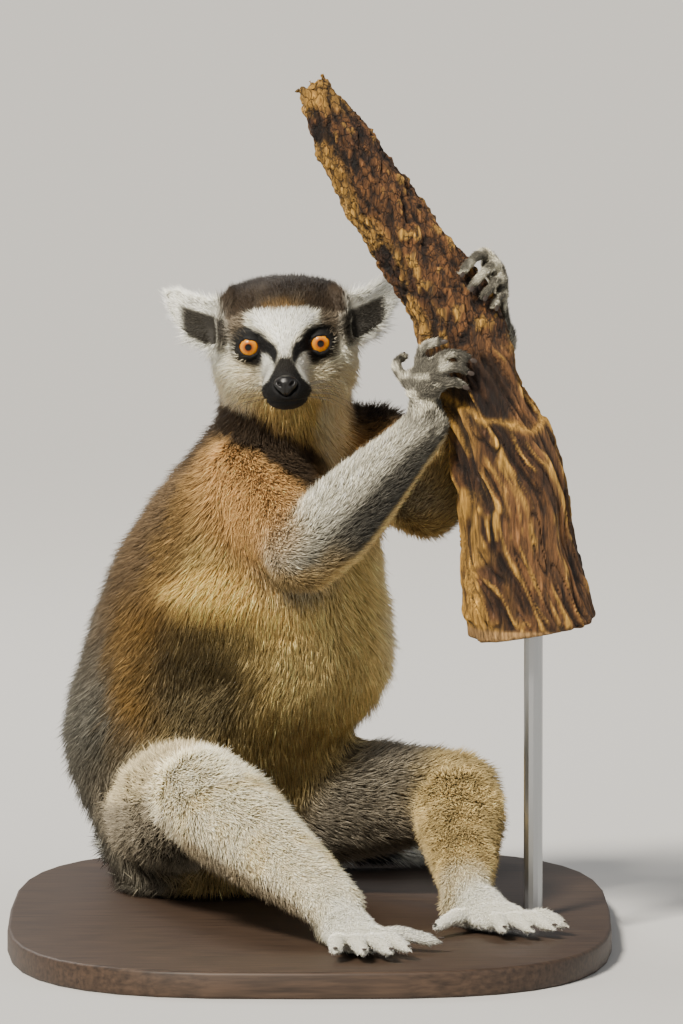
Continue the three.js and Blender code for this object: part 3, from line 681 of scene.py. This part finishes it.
def limb_colour(name, points, normals, place, wobble):
    """Arms grey over a cream underside, thighs grey-brown, shins cream, hands grey, feet white; painted light
    and shade on the forearms, painted shade under the legs and over the far leg, and dark patches of painted
    shade on the hands.
    """
    up = normals[:, 2]
    place = place + 0.12 * (wobble - 0.5)
    near = name.endswith("right")
    if name.startswith("upper_arm"):
        outer = mix(mix(TAN, BROWN, 0.35), mix(GREY, SILVER, 0.45), ramp(0.55, 0.9, place))
        return mix(outer, mix(GOLD, CREAM, 0.3), 0.7 * ramp(-0.1, -0.7, up))
    if name.startswith("forearm"):
        # The side towards the upper left, where the key light is, is painted pale and the side away from it
        # charcoal: painted light and shade.
        lit = normals @ at(-0.6, 0, 0.8)
        top = mix(mix(SILVER, WHITE, 0.12), mix(CHARCOAL, GREY, 0.45), ramp(0.45, -0.30, lit))
        if not near:
            top = mix(top, mix(GOLD, STRAW, 0.5), 0.75 * ramp(0.9, 0.3, place))
        return mix(top, mix(CREAM, GOLD, 0.3), 0.85 * ramp(-0.80, -0.94, lit))
    if name.startswith(("hand", "finger")):
        # Random dark patches stand for the shade between the fingers: painted shade.
        painted_shade_patches = noise(points, 5.0, 4.0)
        return mix(SILVER, mix(GREY, CHARCOAL, 0.65), 0.85 * ramp(0.62, 0.42, painted_shade_patches))
    if name.startswith("thigh"):
        # The far leg is painted in darker copies of the near leg's colours, and the thigh darker underneath:
        # painted shade.
        dull = mix(GREY, BROWN, 0.4)
        if near:
            grey = mix(mix(GREY, SILVER, 0.45), mix(STRAW, CREAM, 0.6), 0.32)
            knee = mix(WHITE, CREAM, 0.35)
        else:
            grey = mix(dull, SILVER, 0.22)
            knee = mix(mix(GREY, STRAW, 0.5), CREAM, 0.1)
        colour = mix(grey, mix(dull, SILVER, 0.15), 0.9 * ramp(0.35, -0.3, up))
        return mix(colour, knee, ramp(0.86, 1.0, place))
    if name.startswith("shin"):
        # The far shin is painted darker than the near one, and the underside of the shin grey-tan: painted
        # shade.
        pale = mix(WHITE, CREAM, 0.42) if near else mix(mix(GREY, STRAW, 0.6), CREAM, 0.12)
        under = mix(mix(GREY, TAN, 0.3), SILVER, 0.2)
        colour = mix(pale, mix(CREAM, TAN, 0.12), 0.4 * ramp(0.4, 0.7, noise(points, 14)))
        return mix(colour, under, 0.8 * ramp(0.0, -0.6, up) * ramp(1.0, 0.85, place))
    return mix(WHITE, CREAM, 0.06)


TAIL_RINGS = 13


def tail_colour(place, wobble):
    """Black and white rings, with a grey start and a black tip."""
    turn = (place * TAIL_RINGS + 0.3 * (wobble - 0.5)) % 1
    black = ramp(0.38, 0.46, turn) * ramp(1.0, 0.93, turn)
    black = np.maximum(black, ramp(0.935, 0.95, place))
    colour = mix(mix(WHITE, SILVER, 0.25), BLACK * 1.3, black)
    return mix(mix(GREY, SILVER, 0.3), colour, ramp(0.02, 0.07, place))


DEEPEN = 1.2  # makes the dark colours deeper and leaves the white as it is


def coat_colour(points, normals, shares, places):
    """The coat's colour at each point, mixed from the regions that share it."""
    wobble = 0.6 * noise(points, 9.0) + 0.4 * noise(points, 3.5, 5.0)
    total = np.zeros((len(points), 3))
    for row, name in enumerate(NAMES):
        some = np.flatnonzero(shares[row] > 0.02)
        if len(some) == 0:
            continue
        p, n, t, w = points[some], normals[some], places[row][some], wobble[some]
        if name == "head":
            colour = head_colour(to_head(p), w)
        elif name == "neck":
            colour = over_shoulders(p, neck_colour(p, w), w)
        elif name == "trunk":
            colour = over_shoulders(p, trunk_colour(p, w), w)
        elif name == "tail":
            colour = tail_colour(t, w)
        elif name.startswith("ear"):
            colour = ear_colour(p, n, w)
        elif name.startswith("upper_arm"):
            colour = over_shoulders(p, limb_colour(name, p, n, t, w), w)
        else:
            colour = limb_colour(name, p, n, t, w)
        total[some] += shares[row][some][:, None] * colour
        shares[row][shares[row] <= 0.02] = 0
    return (total / shares.sum(axis=0)[:, None]) ** DEEPEN


# ------------------------------------------------------------------ skin
# One closed skin over the whole body, under the coat: the flesh solids melted together, evened out and drawn
# in by the depth of the hair, with finer skin on the face for the lids and the line of the mouth.
NOT_FLESH = ("stand_", "perch", "eye_", "nose")
flesh = [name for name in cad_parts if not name.startswith(NOT_FLESH)]
DIGIT_SHRINK = 0.7  # digits are drawn in before melting, so that they stay apart


def flesh_growth(node, places):
    """Outwards so that neighbours run into each other, but inwards on the digits."""
    for kind, root in (("hand_", WRIST), ("foot_", ANKLE)):
        if node.startswith(kind):
            from_joint = np.linalg.norm(places - root[node[5:]], axis=1)
            start = 14 if kind == "hand_" else 30
            return 0.45 - (0.45 + DIGIT_SHRINK) * ramp(start, start + 8, from_joint)
    return np.full(len(places), 0.45)


# The eye solids only fill the sockets here, so that lids can be drawn over them.
skin = joined_copy("skin", flesh + ["eye_right", "eye_left"], flesh_growth)
apply_modifier(skin, "REMESH", mode="VOXEL", voxel_size=1.65 * MM)

edges = edges_of(skin)
points = points_of(skin)
shares, places, flow = read_regions(points)
depth = relax(blended(shares, places, "depth")[:, None], edges, 6)[:, 0]
points = relax(points, edges, 16, np.clip(depth / 9, 0.10, 0.6))
set_points(skin, points)
digits = share_of(shares, "finger", "toe")
DIGIT_REGAIN = 0.8  # what melting and evening out took off the digits
ears = share_of(shares, "ear")
drawn = (depth * (1 - digits) - DIGIT_REGAIN * digits) * (1 - 0.6 * ears)
points = points - drawn[:, None] * unit(relax(normals_of(skin), edges, 4))
points = relax(points, edges, 6, np.clip(depth / 12, 0.05, 0.5))
# The ears' rims are drawn in by the length of their fringe.
for side in ("right", "left"):
    row = NAMES.index("ear_" + side)
    pull = 0.2 * shares[row] * ramp(0.0, 0.25, places[row])
    points = points + pull[:, None] * (ear_middles(side, places) - points)
# The hollow between flank and thigh, and the fold of the ribs over it: how far out, the middle and the size.
HOLLOW = (-18, at(-60, -8, 134), at(28, 45, 25))
FOLD = (5, at(-48, -14, 182), at(38, 45, 12))
normals = unit(relax(normals_of(skin), edges, 12))
trunk_share = shares[NAMES.index("trunk")][:, None]
for outward, middle, size in (HOLLOW, FOLD):
    near = np.exp(-np.sum(((points - middle) / size) ** 2, axis=1))[:, None]
    points += outward * trunk_share * near * normals
points[:, 2] = np.maximum(points[:, 2], FLOOR + 0.3)
set_points(skin, points)
# Under long hair the skin needs few faces. Face, ears, hands and feet keep all of theirs.
local = to_head(points)
fine = share_of(shares, "finger", "toe", "hand", "foot", "ear") + shares[HEAD_ROW] * (local[:, 1] < 8)
coarse = skin.vertex_groups.new(name="long_hair")
coarse.add([int(i) for i in np.flatnonzero(fine < 0.5)], 1.0, "REPLACE")
apply_modifier(skin, "DECIMATE", ratio=0.44, vertex_group="long_hair")
skin.vertex_groups.clear()


def refine(piece, chosen):
    """Halves the edges whose two points are chosen."""
    mesh = bmesh.new()
    mesh.from_mesh(piece.data)
    mesh.verts.ensure_lookup_table()
    picked = [e for e in mesh.edges if chosen[e.verts[0].index] and chosen[e.verts[1].index]]
    bmesh.ops.subdivide_edges(mesh, edges=picked, cuts=1, use_grid_fill=True)
    bmesh.ops.triangulate(mesh, faces=[f for f in mesh.faces if len(f.verts) > 4])
    mesh.to_mesh(piece.data)
    mesh.free()


def in_face(local, back):
    """Which points lie in the face, in front of a plane."""
    x, y, z = local.T
    return (y < back) & (np.abs(x) < 30) & (z < 13) & (z > -36)


refine(skin, in_face(to_head(points_of(skin)), 0))

GAZE = {"left": unit(at(0.10, -1, 0.0)), "right": unit(at(-0.10, -1, 0.0))}
EYE_AT = {"left": at(EYE_SIDE, 0, 0), "right": at(-EYE_SIDE, 0, 0)}
LID_OUTSIDE = 9.2  # from the middle of the eye to the outside of the lids
LID_BEHIND = 6.2  # and to the skin behind their opening
LID_OPEN = 37.0  # half of the opening sideways, in degrees round the middle of the eye
points = points_of(skin)
local = to_head(points)
on_face = in_face(local, 2)
local = relax(local, edges_of(skin), 3, 0.4 * on_face)
for side, gaze in GAZE.items():
    away = local - EYE_AT[side]
    far = np.linalg.norm(away, axis=1)
    way = unit(away)
    angle = np.degrees(np.arccos(np.clip(way @ gaze, -1, 1)))
    tall = way[:, 2] / np.maximum(np.sin(np.radians(angle)), 0.2)
    # The upper lid comes lower over the eye than the lower lid comes up.
    opening = LID_OPEN * (1 - np.where(tall > 0, 0.27, 0.17) * tall**2)
    share = (far < 16) * ramp(74, 50, angle)
    reach = far + (LID_OUTSIDE - far) * share
    reach = np.maximum(reach, LID_OUTSIDE * (far < 16) * (angle < 105))
    reach = np.where((angle < opening) & (far < 16), LID_BEHIND, reach)
    local = EYE_AT[side] + way * reach[:, None]
    around_lids = ramp(9.4, 11, np.linalg.norm(local - EYE_AT[side], axis=1)) * (far < 20) * (angle < 110)
    around_lids = np.maximum(around_lids, (angle > opening + 16) & (far < 20) & (angle < 110))
    local = relax(local, edges_of(skin), 10, 0.6 * around_lids * on_face)
# The mouth: a shallow line that runs back from under the nose.
x, y, z = local.T
line = -27.0 + 0.02 * np.maximum(y + NOSE_REACH, 0) ** 1.5
mouth = np.exp(-(((z - line) / 0.9) ** 2)) * ramp(-12, -18, y) * (y < -8)
local = local - 1.2 * mouth[:, None] * (normals_of(skin) @ HEAD_AXES)
set_points(skin, from_head(local))

points = points_of(skin)
normals = normals_of(skin)
edges = edges_of(skin)
shares, places, flow = read_regions(points)
flow = relax(flow, edges, 8)
flow = unit(flow - np.sum(flow * normals, axis=1)[:, None] * normals)
colours = coat_colour(points, normals, shares.copy(), places)
local = to_head(points)
eye_gap = np.min([np.linalg.norm(local - centre, axis=1) for centre in EYE_AT.values()], axis=0)
face = shares[HEAD_ROW] * ramp(8, -2, local[:, 1])
colours = mix(colours, BLACK, ramp(12.5, 10.5, eye_gap) * face)
# The skin is the coat's colour darkened, as painted shade among the roots of the hair.
store_colour(skin, "Coat", colours * 0.55)
shade_smooth(skin)

skin.select_set(True)
bpy.context.view_layer.objects.active = skin
bpy.ops.object.mode_set(mode="EDIT")
bpy.ops.mesh.select_all(action="SELECT")
bpy.ops.uv.smart_project(angle_limit=math.radians(66), island_margin=0.002)
bpy.ops.object.mode_set(mode="OBJECT")
skin.select_set(False)
skin.data.uv_layers.active.name = "OFBake"
skin_finish, shader = material("Skin", 0.7, Specular_IOR_Level=0.25)
read_colour(shader, "Coat")
add_bump(shader, scale=900, strength=0.4, distance=0.0006)
dress(skin, skin_finish, "coat_grey", *flesh)

# ------------------------------------------------------------------ coat
# Every tuft is a small closed spike of four faces, with its root in the skin and a tip that lies along the
# body. Tufts are joined into pieces by region.
skin.data.calc_loop_triangles()
triangles = read_rows(skin.data.loop_triangles, "vertices", 3, np.int32)
corner_loops = read_rows(skin.data.loop_triangles, "loops", 3, np.int32)
uv = read_rows(skin.data.uv_layers["OFBake"].data, "uv", 2)

depth = blended(shares, places, "depth")
ruff = shares[HEAD_ROW] * ramp(0, -18, local[:, 2]) * ramp(10, 22, np.abs(local[:, 0]))
depth += 3.0 * ruff
ears = share_of(shares, "ear")
behind = ramp(-0.2, 0.3, (normals @ HEAD_AXES)[:, 1])
rim = np.zeros(len(points))
for side in ("right", "left"):
    from_middle = np.linalg.norm(points - ear_middles(side, places), axis=1)
    rim += shares[NAMES.index("ear_" + side)] * ramp(7, 11, from_middle)
depth += ears * (1.0 * behind + 1.7 * rim)
bare = np.maximum(ramp(10.6, 9.9, eye_gap) * face, ramp(FLOOR + 2.5, FLOOR + 0.8, points[:, 2]))
low = ramp(-0.5, -0.9, normals[:, 2]) * ramp(FLOOR + 30, FLOOR + 10, points[:, 2])
# The whole coat is this much closer, flatter and finer than the regions say.
SPACE_SCALE = 0.83
LIFT_SCALE = 0.85
WIDTH_SCALE = 0.95
space = SPACE_SCALE * blended(shares, places, "space") * (1 + 0.6 * low)

corners = points[triangles]
area = 0.5 * np.linalg.norm(np.cross(corners[:, 1] - corners[:, 0], corners[:, 2] - corners[:, 0]), axis=1)
wanted = area / space[triangles].mean(axis=1) ** 2
wanted *= 1 - np.clip(bare, 0, 1)[triangles].max(axis=1)
total = np.cumsum(wanted)
count = int(total[-1])
marks = (np.arange(count) + rng.random(count)) * total[-1] / count
chosen = np.minimum(np.searchsorted(total, marks), len(wanted) - 1)
a, b = rng.random((2, count))
over = a + b > 1
a[over], b[over] = 1 - a[over], 1 - b[over]
weights = np.stack([1 - a - b, a, b], axis=1)


def carried(values):
    """Values of the skin's points, read where the tufts grow."""
    picked = values[triangles[chosen]]
    return np.sum(picked * (weights if picked.ndim == 2 else weights[..., None]), axis=1)


root = carried(points)
normal = unit(carried(normals))
way = carried(flow)
way = unit(way - np.sum(way * normal, axis=1)[:, None] * normal)
tuft_depth = carried(depth)
tuft_lift = np.radians(LIFT_SCALE * carried(blended(shares, places, "lift")))
tuft_width = WIDTH_SCALE * carried(blended(shares, places, "width"))
root_uv = np.sum(uv[corner_loops[chosen]] * weights[..., None], axis=1)

# Locks: neighbours lean the same way, with finer scatter from tuft to tuft. Deep hair is shaggier.
scatter = rng.normal(size=(5, count))
shag = ramp(7.5, 9.0, tuft_depth)
across = np.cross(way, normal)
lean = (0.5 + 0.8 * shag) * (noise(root, 12.0) - 0.5) + 0.4 * (noise(root, 4.5, 9.0) - 0.5)
lean += 0.15 * scatter[0]
way = way * np.cos(lean)[:, None] + across * np.sin(lean)[:, None]
across = np.cross(way, normal)
rise = tuft_lift * (1 + 0.6 * (noise(root, 6.0, 3.0) - 0.5) + 0.2 * scatter[1])
length = tuft_depth / np.sin(tuft_lift) * np.clip(0.82 + 0.17 * scatter[2], 0.4, 1.12)
half = 0.5 * tuft_width * np.clip(1 + 0.2 * scatter[3], 0.6, 1.5)

# A tuft's colour is that of the marking where its outer part lies, speckled where it isn't white.
outer = root + 0.6 * length[:, None] * (way * np.cos(rise)[:, None] + normal * np.sin(rise)[:, None])
owner = read_regions(root)[0].argmax(axis=0)
outer_shares, outer_places, _ = read_regions(outer)
tuft_colour = coat_colour(outer, normal, outer_shares, outer_places)
brightness = tuft_colour.mean(axis=1)
colourful = ramp(0.15, 0.45, 1 - tuft_colour[:, 2] / np.maximum(tuft_colour[:, 0], 1e-3))
speckle = 0.12 + 0.36 * ramp(0.78, 0.50, brightness) * ramp(0.02, 0.06, brightness) * (1 - 0.5 * colourful)
tuft_colour *= np.exp(speckle * scatter[4])[:, None]
TUFT_FACES = np.array([(0, 2, 1), (0, 1, 3), (0, 3, 2), (1, 2, 3)])
TUFT_PATCH = 0.0015 * np.array([(-1, -1), (1, -1), (0, -0.4), (0, 1)])
MOST_TUFTS = 49000  # in one piece, four faces each


def spikes(pick):
    """Points, faces, colours and bake patches of the picked tufts."""
    n, w, s = normal[pick], way[pick], across[pick]
    wide = half[pick][:, None]
    sine, cosine = np.sin(rise[pick])[:, None], np.cos(rise[pick])[:, None]
    start = root[pick] - 0.5 * n
    tip = start + length[pick][:, None] * (w * cosine + n * sine)
    body = np.stack([start + s * wide, start - s * wide, start + (n * cosine - w * sine) * wide, tip], axis=1)
    body[:, :, 2] = np.maximum(body[:, :, 2], FLOOR + 0.1)
    faces = TUFT_FACES + 4 * np.arange(len(body))[:, None, None]
    tone = tuft_colour[pick]
    # Each tuft is darker at the root than at the tip: partly the hair's own dark roots, partly painted shade
    # deep in the coat.
    light = tone * (1.12 + 0.25 * rng.random(len(body))[:, None])
    shades = np.stack([tone * 0.72, tone * 0.72, tone * 0.8, light], axis=1)
    patches = root_uv[pick][:, None] + TUFT_PATCH
    return body.reshape(-1, 3), faces.reshape(-1, 3), shades.reshape(-1, 3), patches


def mesh_from(name, points, faces):
    """A mesh object from points in millimetres and triangles."""
    mesh = bpy.data.meshes.new(name)
    mesh.vertices.add(len(points))
    mesh.vertices.foreach_set("co", (points * MM).astype(np.float32).ravel())
    mesh.loops.add(faces.size)
    mesh.loops.foreach_set("vertex_index", faces.astype(np.int32).ravel())
    mesh.polygons.add(len(faces))
    mesh.polygons.foreach_set("loop_start", np.arange(0, faces.size, 3, dtype=np.int32))
    mesh.polygons.foreach_set("use_smooth", np.ones(len(faces), dtype=bool))
    mesh.update(calc_edges=True)
    return new_mesh_object(name, mesh)


coat_finish, shader = material("Coat", 0.62, Specular_IOR_Level=0.28)
read_colour(shader, "Hair")


def coat(name, prefixes, slot):
    """The coat of the regions whose names start with the prefixes, in pieces of a bounded size."""
    rows = [i for i, n in enumerate(NAMES) if n.startswith(prefixes)]
    mine = np.flatnonzero(np.isin(owner, rows))
    pieces = math.ceil(len(mine) / MOST_TUFTS)
    for number, pick in enumerate(np.array_split(mine, pieces)):
        body, faces, shades, patches = spikes(pick)
        piece = mesh_from(f"{name}_{number + 1}", body, faces)
        store_colour(piece, "Hair", shades)
        flat = patches.reshape(-1, 2)[faces.ravel()]
        piece.data.uv_layers.new(name="OFBake").data.foreach_set("uv", flat.astype(np.float32).ravel())
        dress(piece, coat_finish, slot)


coat("coat_head", ("head", "ear"), "coat_head")
coat("coat_neck", ("neck",), "coat_white")
coat("coat_trunk", ("trunk",), "coat_back")
coat("coat_arms", ("upper_arm", "forearm", "hand", "finger"), "coat_grey")
coat("coat_legs", ("thigh", "shin", "foot", "toe"), "coat_white")
coat("coat_tail", ("tail",), "coat_black")

# ------------------------------------------------------------------ eyes
# Wet round eyes: a dark rim, an amber iris with fine streaks, and a small round pupil under a clear surface.
# Each is a ball set in its socket, where the skin's lids close over its edge.
EYE_RADIUS = 8.0
PUPIL = 1.7
IRIS = 5.0


def eye_finish(side):
    """Rings of colour by the distance from the line of sight."""
    made, shader = material(
        "Eye_" + side, 0.3, Specular_IOR_Level=0.15, Coat_Weight=0.3, Coat_Roughness=0.02
    )
    where = add_node(shader, "TexCoord")
    shift = add_node(shader, "VectorMath")
    shift.operation = "SUBTRACT"
    shift.inputs[1].default_value = on_head(*EYE_AT[side]) * MM
    aside = add_node(shader, "VectorMath")
    aside.operation = "CROSS_PRODUCT"
    aside.inputs[1].default_value = HEAD_AXES @ GAZE[side]
    far = add_node(shader, "VectorMath")
    far.operation = "LENGTH"
    rings = add_node(shader, "MapRange", From_Max=EYE_RADIUS * MM)
    bands = add_node(shader, "ValToRGB")
    stops = bands.color_ramp.elements
    stops[0].color = (0.003, 0.002, 0.002, 1)
    stops[1].color = (0.010, 0.007, 0.006, 1)
    for where_to, colour in (
        (PUPIL / EYE_RADIUS, (0.003, 0.002, 0.002)),
        (PUPIL / EYE_RADIUS + 0.03, (0.26, 0.055, 0.004)),
        (0.40, (0.62, 0.20, 0.008)),
        (0.53, (0.72, 0.29, 0.012)),
        (IRIS / EYE_RADIUS - 0.03, (0.30, 0.07, 0.005)),
        (IRIS / EYE_RADIUS + 0.02, (0.014, 0.007, 0.005)),
    ):
        stops.new(where_to).color = (*colour, 1)
    streaks = add_node(shader, "TexNoise", Scale=900, Detail=4)
    dapple = add_node(shader, "MixRGB", Fac=0.4)
    dapple.blend_type = "MULTIPLY"
    wire(where, "Object", shift, 0)
    wire(shift, "Vector", aside, 0)
    wire(aside, "Vector", far, 0)
    wire(far, "Value", rings, "Value")
    wire(rings, "Result", bands, "Fac")
    wire(where, "Object", streaks, "Vector")
    wire(bands, "Color", dapple, "Color1")
    wire(streaks, "Fac", dapple, "Color2")
    wire(dapple, "Color", shader, "Base Color")
    return made


for side in ("right", "left"):
    bpy.ops.mesh.primitive_uv_sphere_add(segments=64, ring_count=48, radius=EYE_RADIUS * MM)
    eye = bpy.context.object
    eye.name = "eyeball_" + side
    ball = points_of(eye)
    # The cornea swells a little in front.
    swell = 1 + 0.05 * ramp(0.72, 1.0, unit(ball) @ (HEAD_AXES @ GAZE[side]))
    set_points(eye, ball * swell[:, None] + on_head(*EYE_AT[side]))
    shade_smooth(eye)
    dress(eye, eye_finish(side), "eye_amber", "eye_" + side)
    eye.select_set(False)

# ------------------------------------------------------------------ nose
# The moist, bare pad of black skin at the end of the muzzle, with two comma-shaped nostrils that open to the
# sides and a cleft between them.
pad = joined_copy("nose_pad", ["nose"])
apply_modifier(pad, "REMESH", mode="VOXEL", voxel_size=0.4 * MM)
nose_points = to_head(relax(points_of(pad), edges_of(pad), 12, 0.5))
x, y, z = nose_points.T
nostril_at = NOSE_LEVEL + 1.0 + 0.5 * (np.abs(x) - 3.3)
nostril = np.exp(-((np.abs(x) - 3.3) / 1.2) ** 2 - ((z - nostril_at) / 0.9) ** 2) * (y < -37)
cleft = np.exp(-((x / 0.5) ** 2)) * (z < NOSE_LEVEL + 0.5) * (y < -38)
nose_points[:, 1] += 2.2 * nostril + 0.7 * cleft
set_points(pad, from_head(nose_points))
nose_finish, shader = material(
    "Nose", 0.33, colour=(0.006, 0.0055, 0.0055), Specular_IOR_Level=0.35
)
add_bump(shader, scale=2200, strength=0.3, distance=0.0003, detail=2)
shade_smooth(pad)
dress(pad, nose_finish, "nose_leather", "nose")

# ------------------------------------------------------------------ nails
# Flat dark nails of horn, one laid over the end of each finger and toe. On the fingers they lie on the side
# away from the wood, and on the toes on top.
NAIL = at(1.3, 2.0, 0.5)  # half of its width, length and thickness
bpy.ops.mesh.primitive_ico_sphere_add(subdivisions=3, radius=1)
dome = bpy.context.object
dome_points = np.array([v.co[:] for v in dome.data.vertices])
dome_faces = np.array([p.vertices[:] for p in dome.data.polygons])
bpy.data.objects.remove(dome)
nail_points = []
for side in ("right", "left"):
    ends = []
    for _, joint, tip in FINGERS[side]:
        wood_middle = at(np.interp(tip[2], WOOD_HEIGHT, WOOD_X), WOOD_Y, tip[2])
        ends.append((tip, unit(tip - joint), unit(tip - wood_middle), 3.1))
    for joint, tip in toe_ends(side):
        toe_way = unit((tip - joint) * at(1, 1, 0.4))
        ends.append((tip - 1.8 * toe_way, toe_way, at(0, 0, 1), 3.7))
    for tip, way_of, out, stand in ends:
        beside = unit(np.cross(way_of, out))
        out = unit(np.cross(beside, way_of))
        turned = dome_points * NAIL @ np.stack([beside, way_of, out])
        nail_points.append(turned + tip - 2.2 * way_of + stand * out)
nail_faces = [dome_faces + len(dome_points) * i for i in range(len(nail_points))]
nails = mesh_from("nails", np.concatenate(nail_points), np.concatenate(nail_faces))
nail_finish, _ = material("Nail", 0.5, colour=(0.040, 0.030, 0.024), Specular_IOR_Level=0.3)
dress(nails, nail_finish, "nose_leather")

# ------------------------------------------------------------------ whiskers
# Stiff dark hairs that grow from the upper lip on each side, in three rows. Each is a thin three-sided spike
# that bends down a little towards its tip.
WHISKERS = 11  # on each side of the lip
whisker_points, whisker_faces = [], []
for s in (-1, 1):
    for i in range(WHISKERS):
        start = at(s * (8.5 + 0.8 * (i % 4)), -31 + 2.6 * (i // 4), -19 - 1.9 * (i % 4))
        out = unit(at(s * (1.0 + 0.1 * (i % 3)), -0.25 + 0.35 * (i // 4), 0.15 - 0.12 * (i % 4)))
        droop = at(0, 0.1, -0.22)
        reach = 24 + 3.0 * (i % 3)
        line = [start - 1.5 * out, start + 0.5 * reach * out, start + reach * unit(out + droop)]
        ring = 0.16 * np.array([(0, math.cos(t), math.sin(t)) for t in (0, 2.094, 4.189)])
        spike = np.concatenate([line[0] + ring, line[1] + 0.75 * ring, [line[2]]])
        base = 7 * len(whisker_points)
        sides = [(j, (j + 1) % 3, (j + 1) % 3 + 3, j + 3) for j in range(3)]
        faces = [(p, q, r) for p, q, r, t in sides] + [(p, r, t) for p, q, r, t in sides]
        faces += [(3, 4, 6), (4, 5, 6), (5, 3, 6), (2, 1, 0)]
        whisker_points.append(from_head(spike))
        whisker_faces.append(np.array(faces) + base)
whiskers = mesh_from("whiskers", np.concatenate(whisker_points), np.concatenate(whisker_faces))
whisker_finish, _ = material("Whisker", 0.4, colour=(0.05, 0.045, 0.04))
dress(whiskers, whisker_finish, "nose_leather")

# ------------------------------------------------------------------ floor, light and camera
# A plain pale floor, which is stage and no part of the object. A high sun from the left front lights it, with
# a weak lamp from the right and one from behind.
FLOOR_HALF = 60  # metres
bpy.ops.mesh.primitive_plane_add(size=2 * FLOOR_HALF)
floor = bpy.context.object
floor.name = "floor"
floor_finish, _ = material("Floor", 0.85, colour=(0.52, 0.515, 0.50))
floor.data.materials.append(floor_finish)
floor.select_set(False)


def lamp(kind, name, place, power, size, colour):
    """A lamp at a place in metres that looks at the middle of the object."""
    data = bpy.data.lights.new(name, kind)
    data.energy, data.color = power, colour
    if kind == "SUN":
        data.angle = math.radians(size)
    else:
        data.size = size
    made = bpy.data.objects.new(name, data)
    bpy.context.collection.objects.link(made)
    away = at(*place) - at(0, 0, 0.22)
    made.location = place
    made.rotation_euler = (math.acos(away[2] / np.linalg.norm(away)), 0, math.atan2(away[0], -away[1]))
    made.visible_camera = False


lamp("SUN", "key", (-1.1, -2.1, 2.15), 7.8, 11, (1.0, 0.935, 0.83))
lamp("AREA", "fill", (2.2, -1.2, 1.1), 14, 1.4, (0.98, 0.98, 1.0))
lamp("AREA", "rim", (-1.3, 1.6, 1.5), 26, 1.0, (1.0, 0.97, 0.93))
world = bpy.data.worlds.new("World")
world.use_nodes = True
world.node_tree.nodes["Background"].inputs["Color"].default_value = (0.90, 0.90, 0.90, 1)
world.node_tree.nodes["Background"].inputs["Strength"].default_value = 0.38
bpy.context.scene.world = world

CAMERA_AT = (0.0169, -5.463, 0.6573)
CAMERA_TILT = math.radians(4.5)
LENS = 359.65
camera = bpy.data.objects.new("camera", bpy.data.cameras.new("camera"))
camera.data.lens = LENS
camera.data.sensor_width = 36
camera.data.clip_end = 200
camera.location = CAMERA_AT
camera.rotation_euler = (math.pi / 2 - CAMERA_TILT, 0, 0)
bpy.context.collection.objects.link(camera)
bpy.context.scene.camera = camera
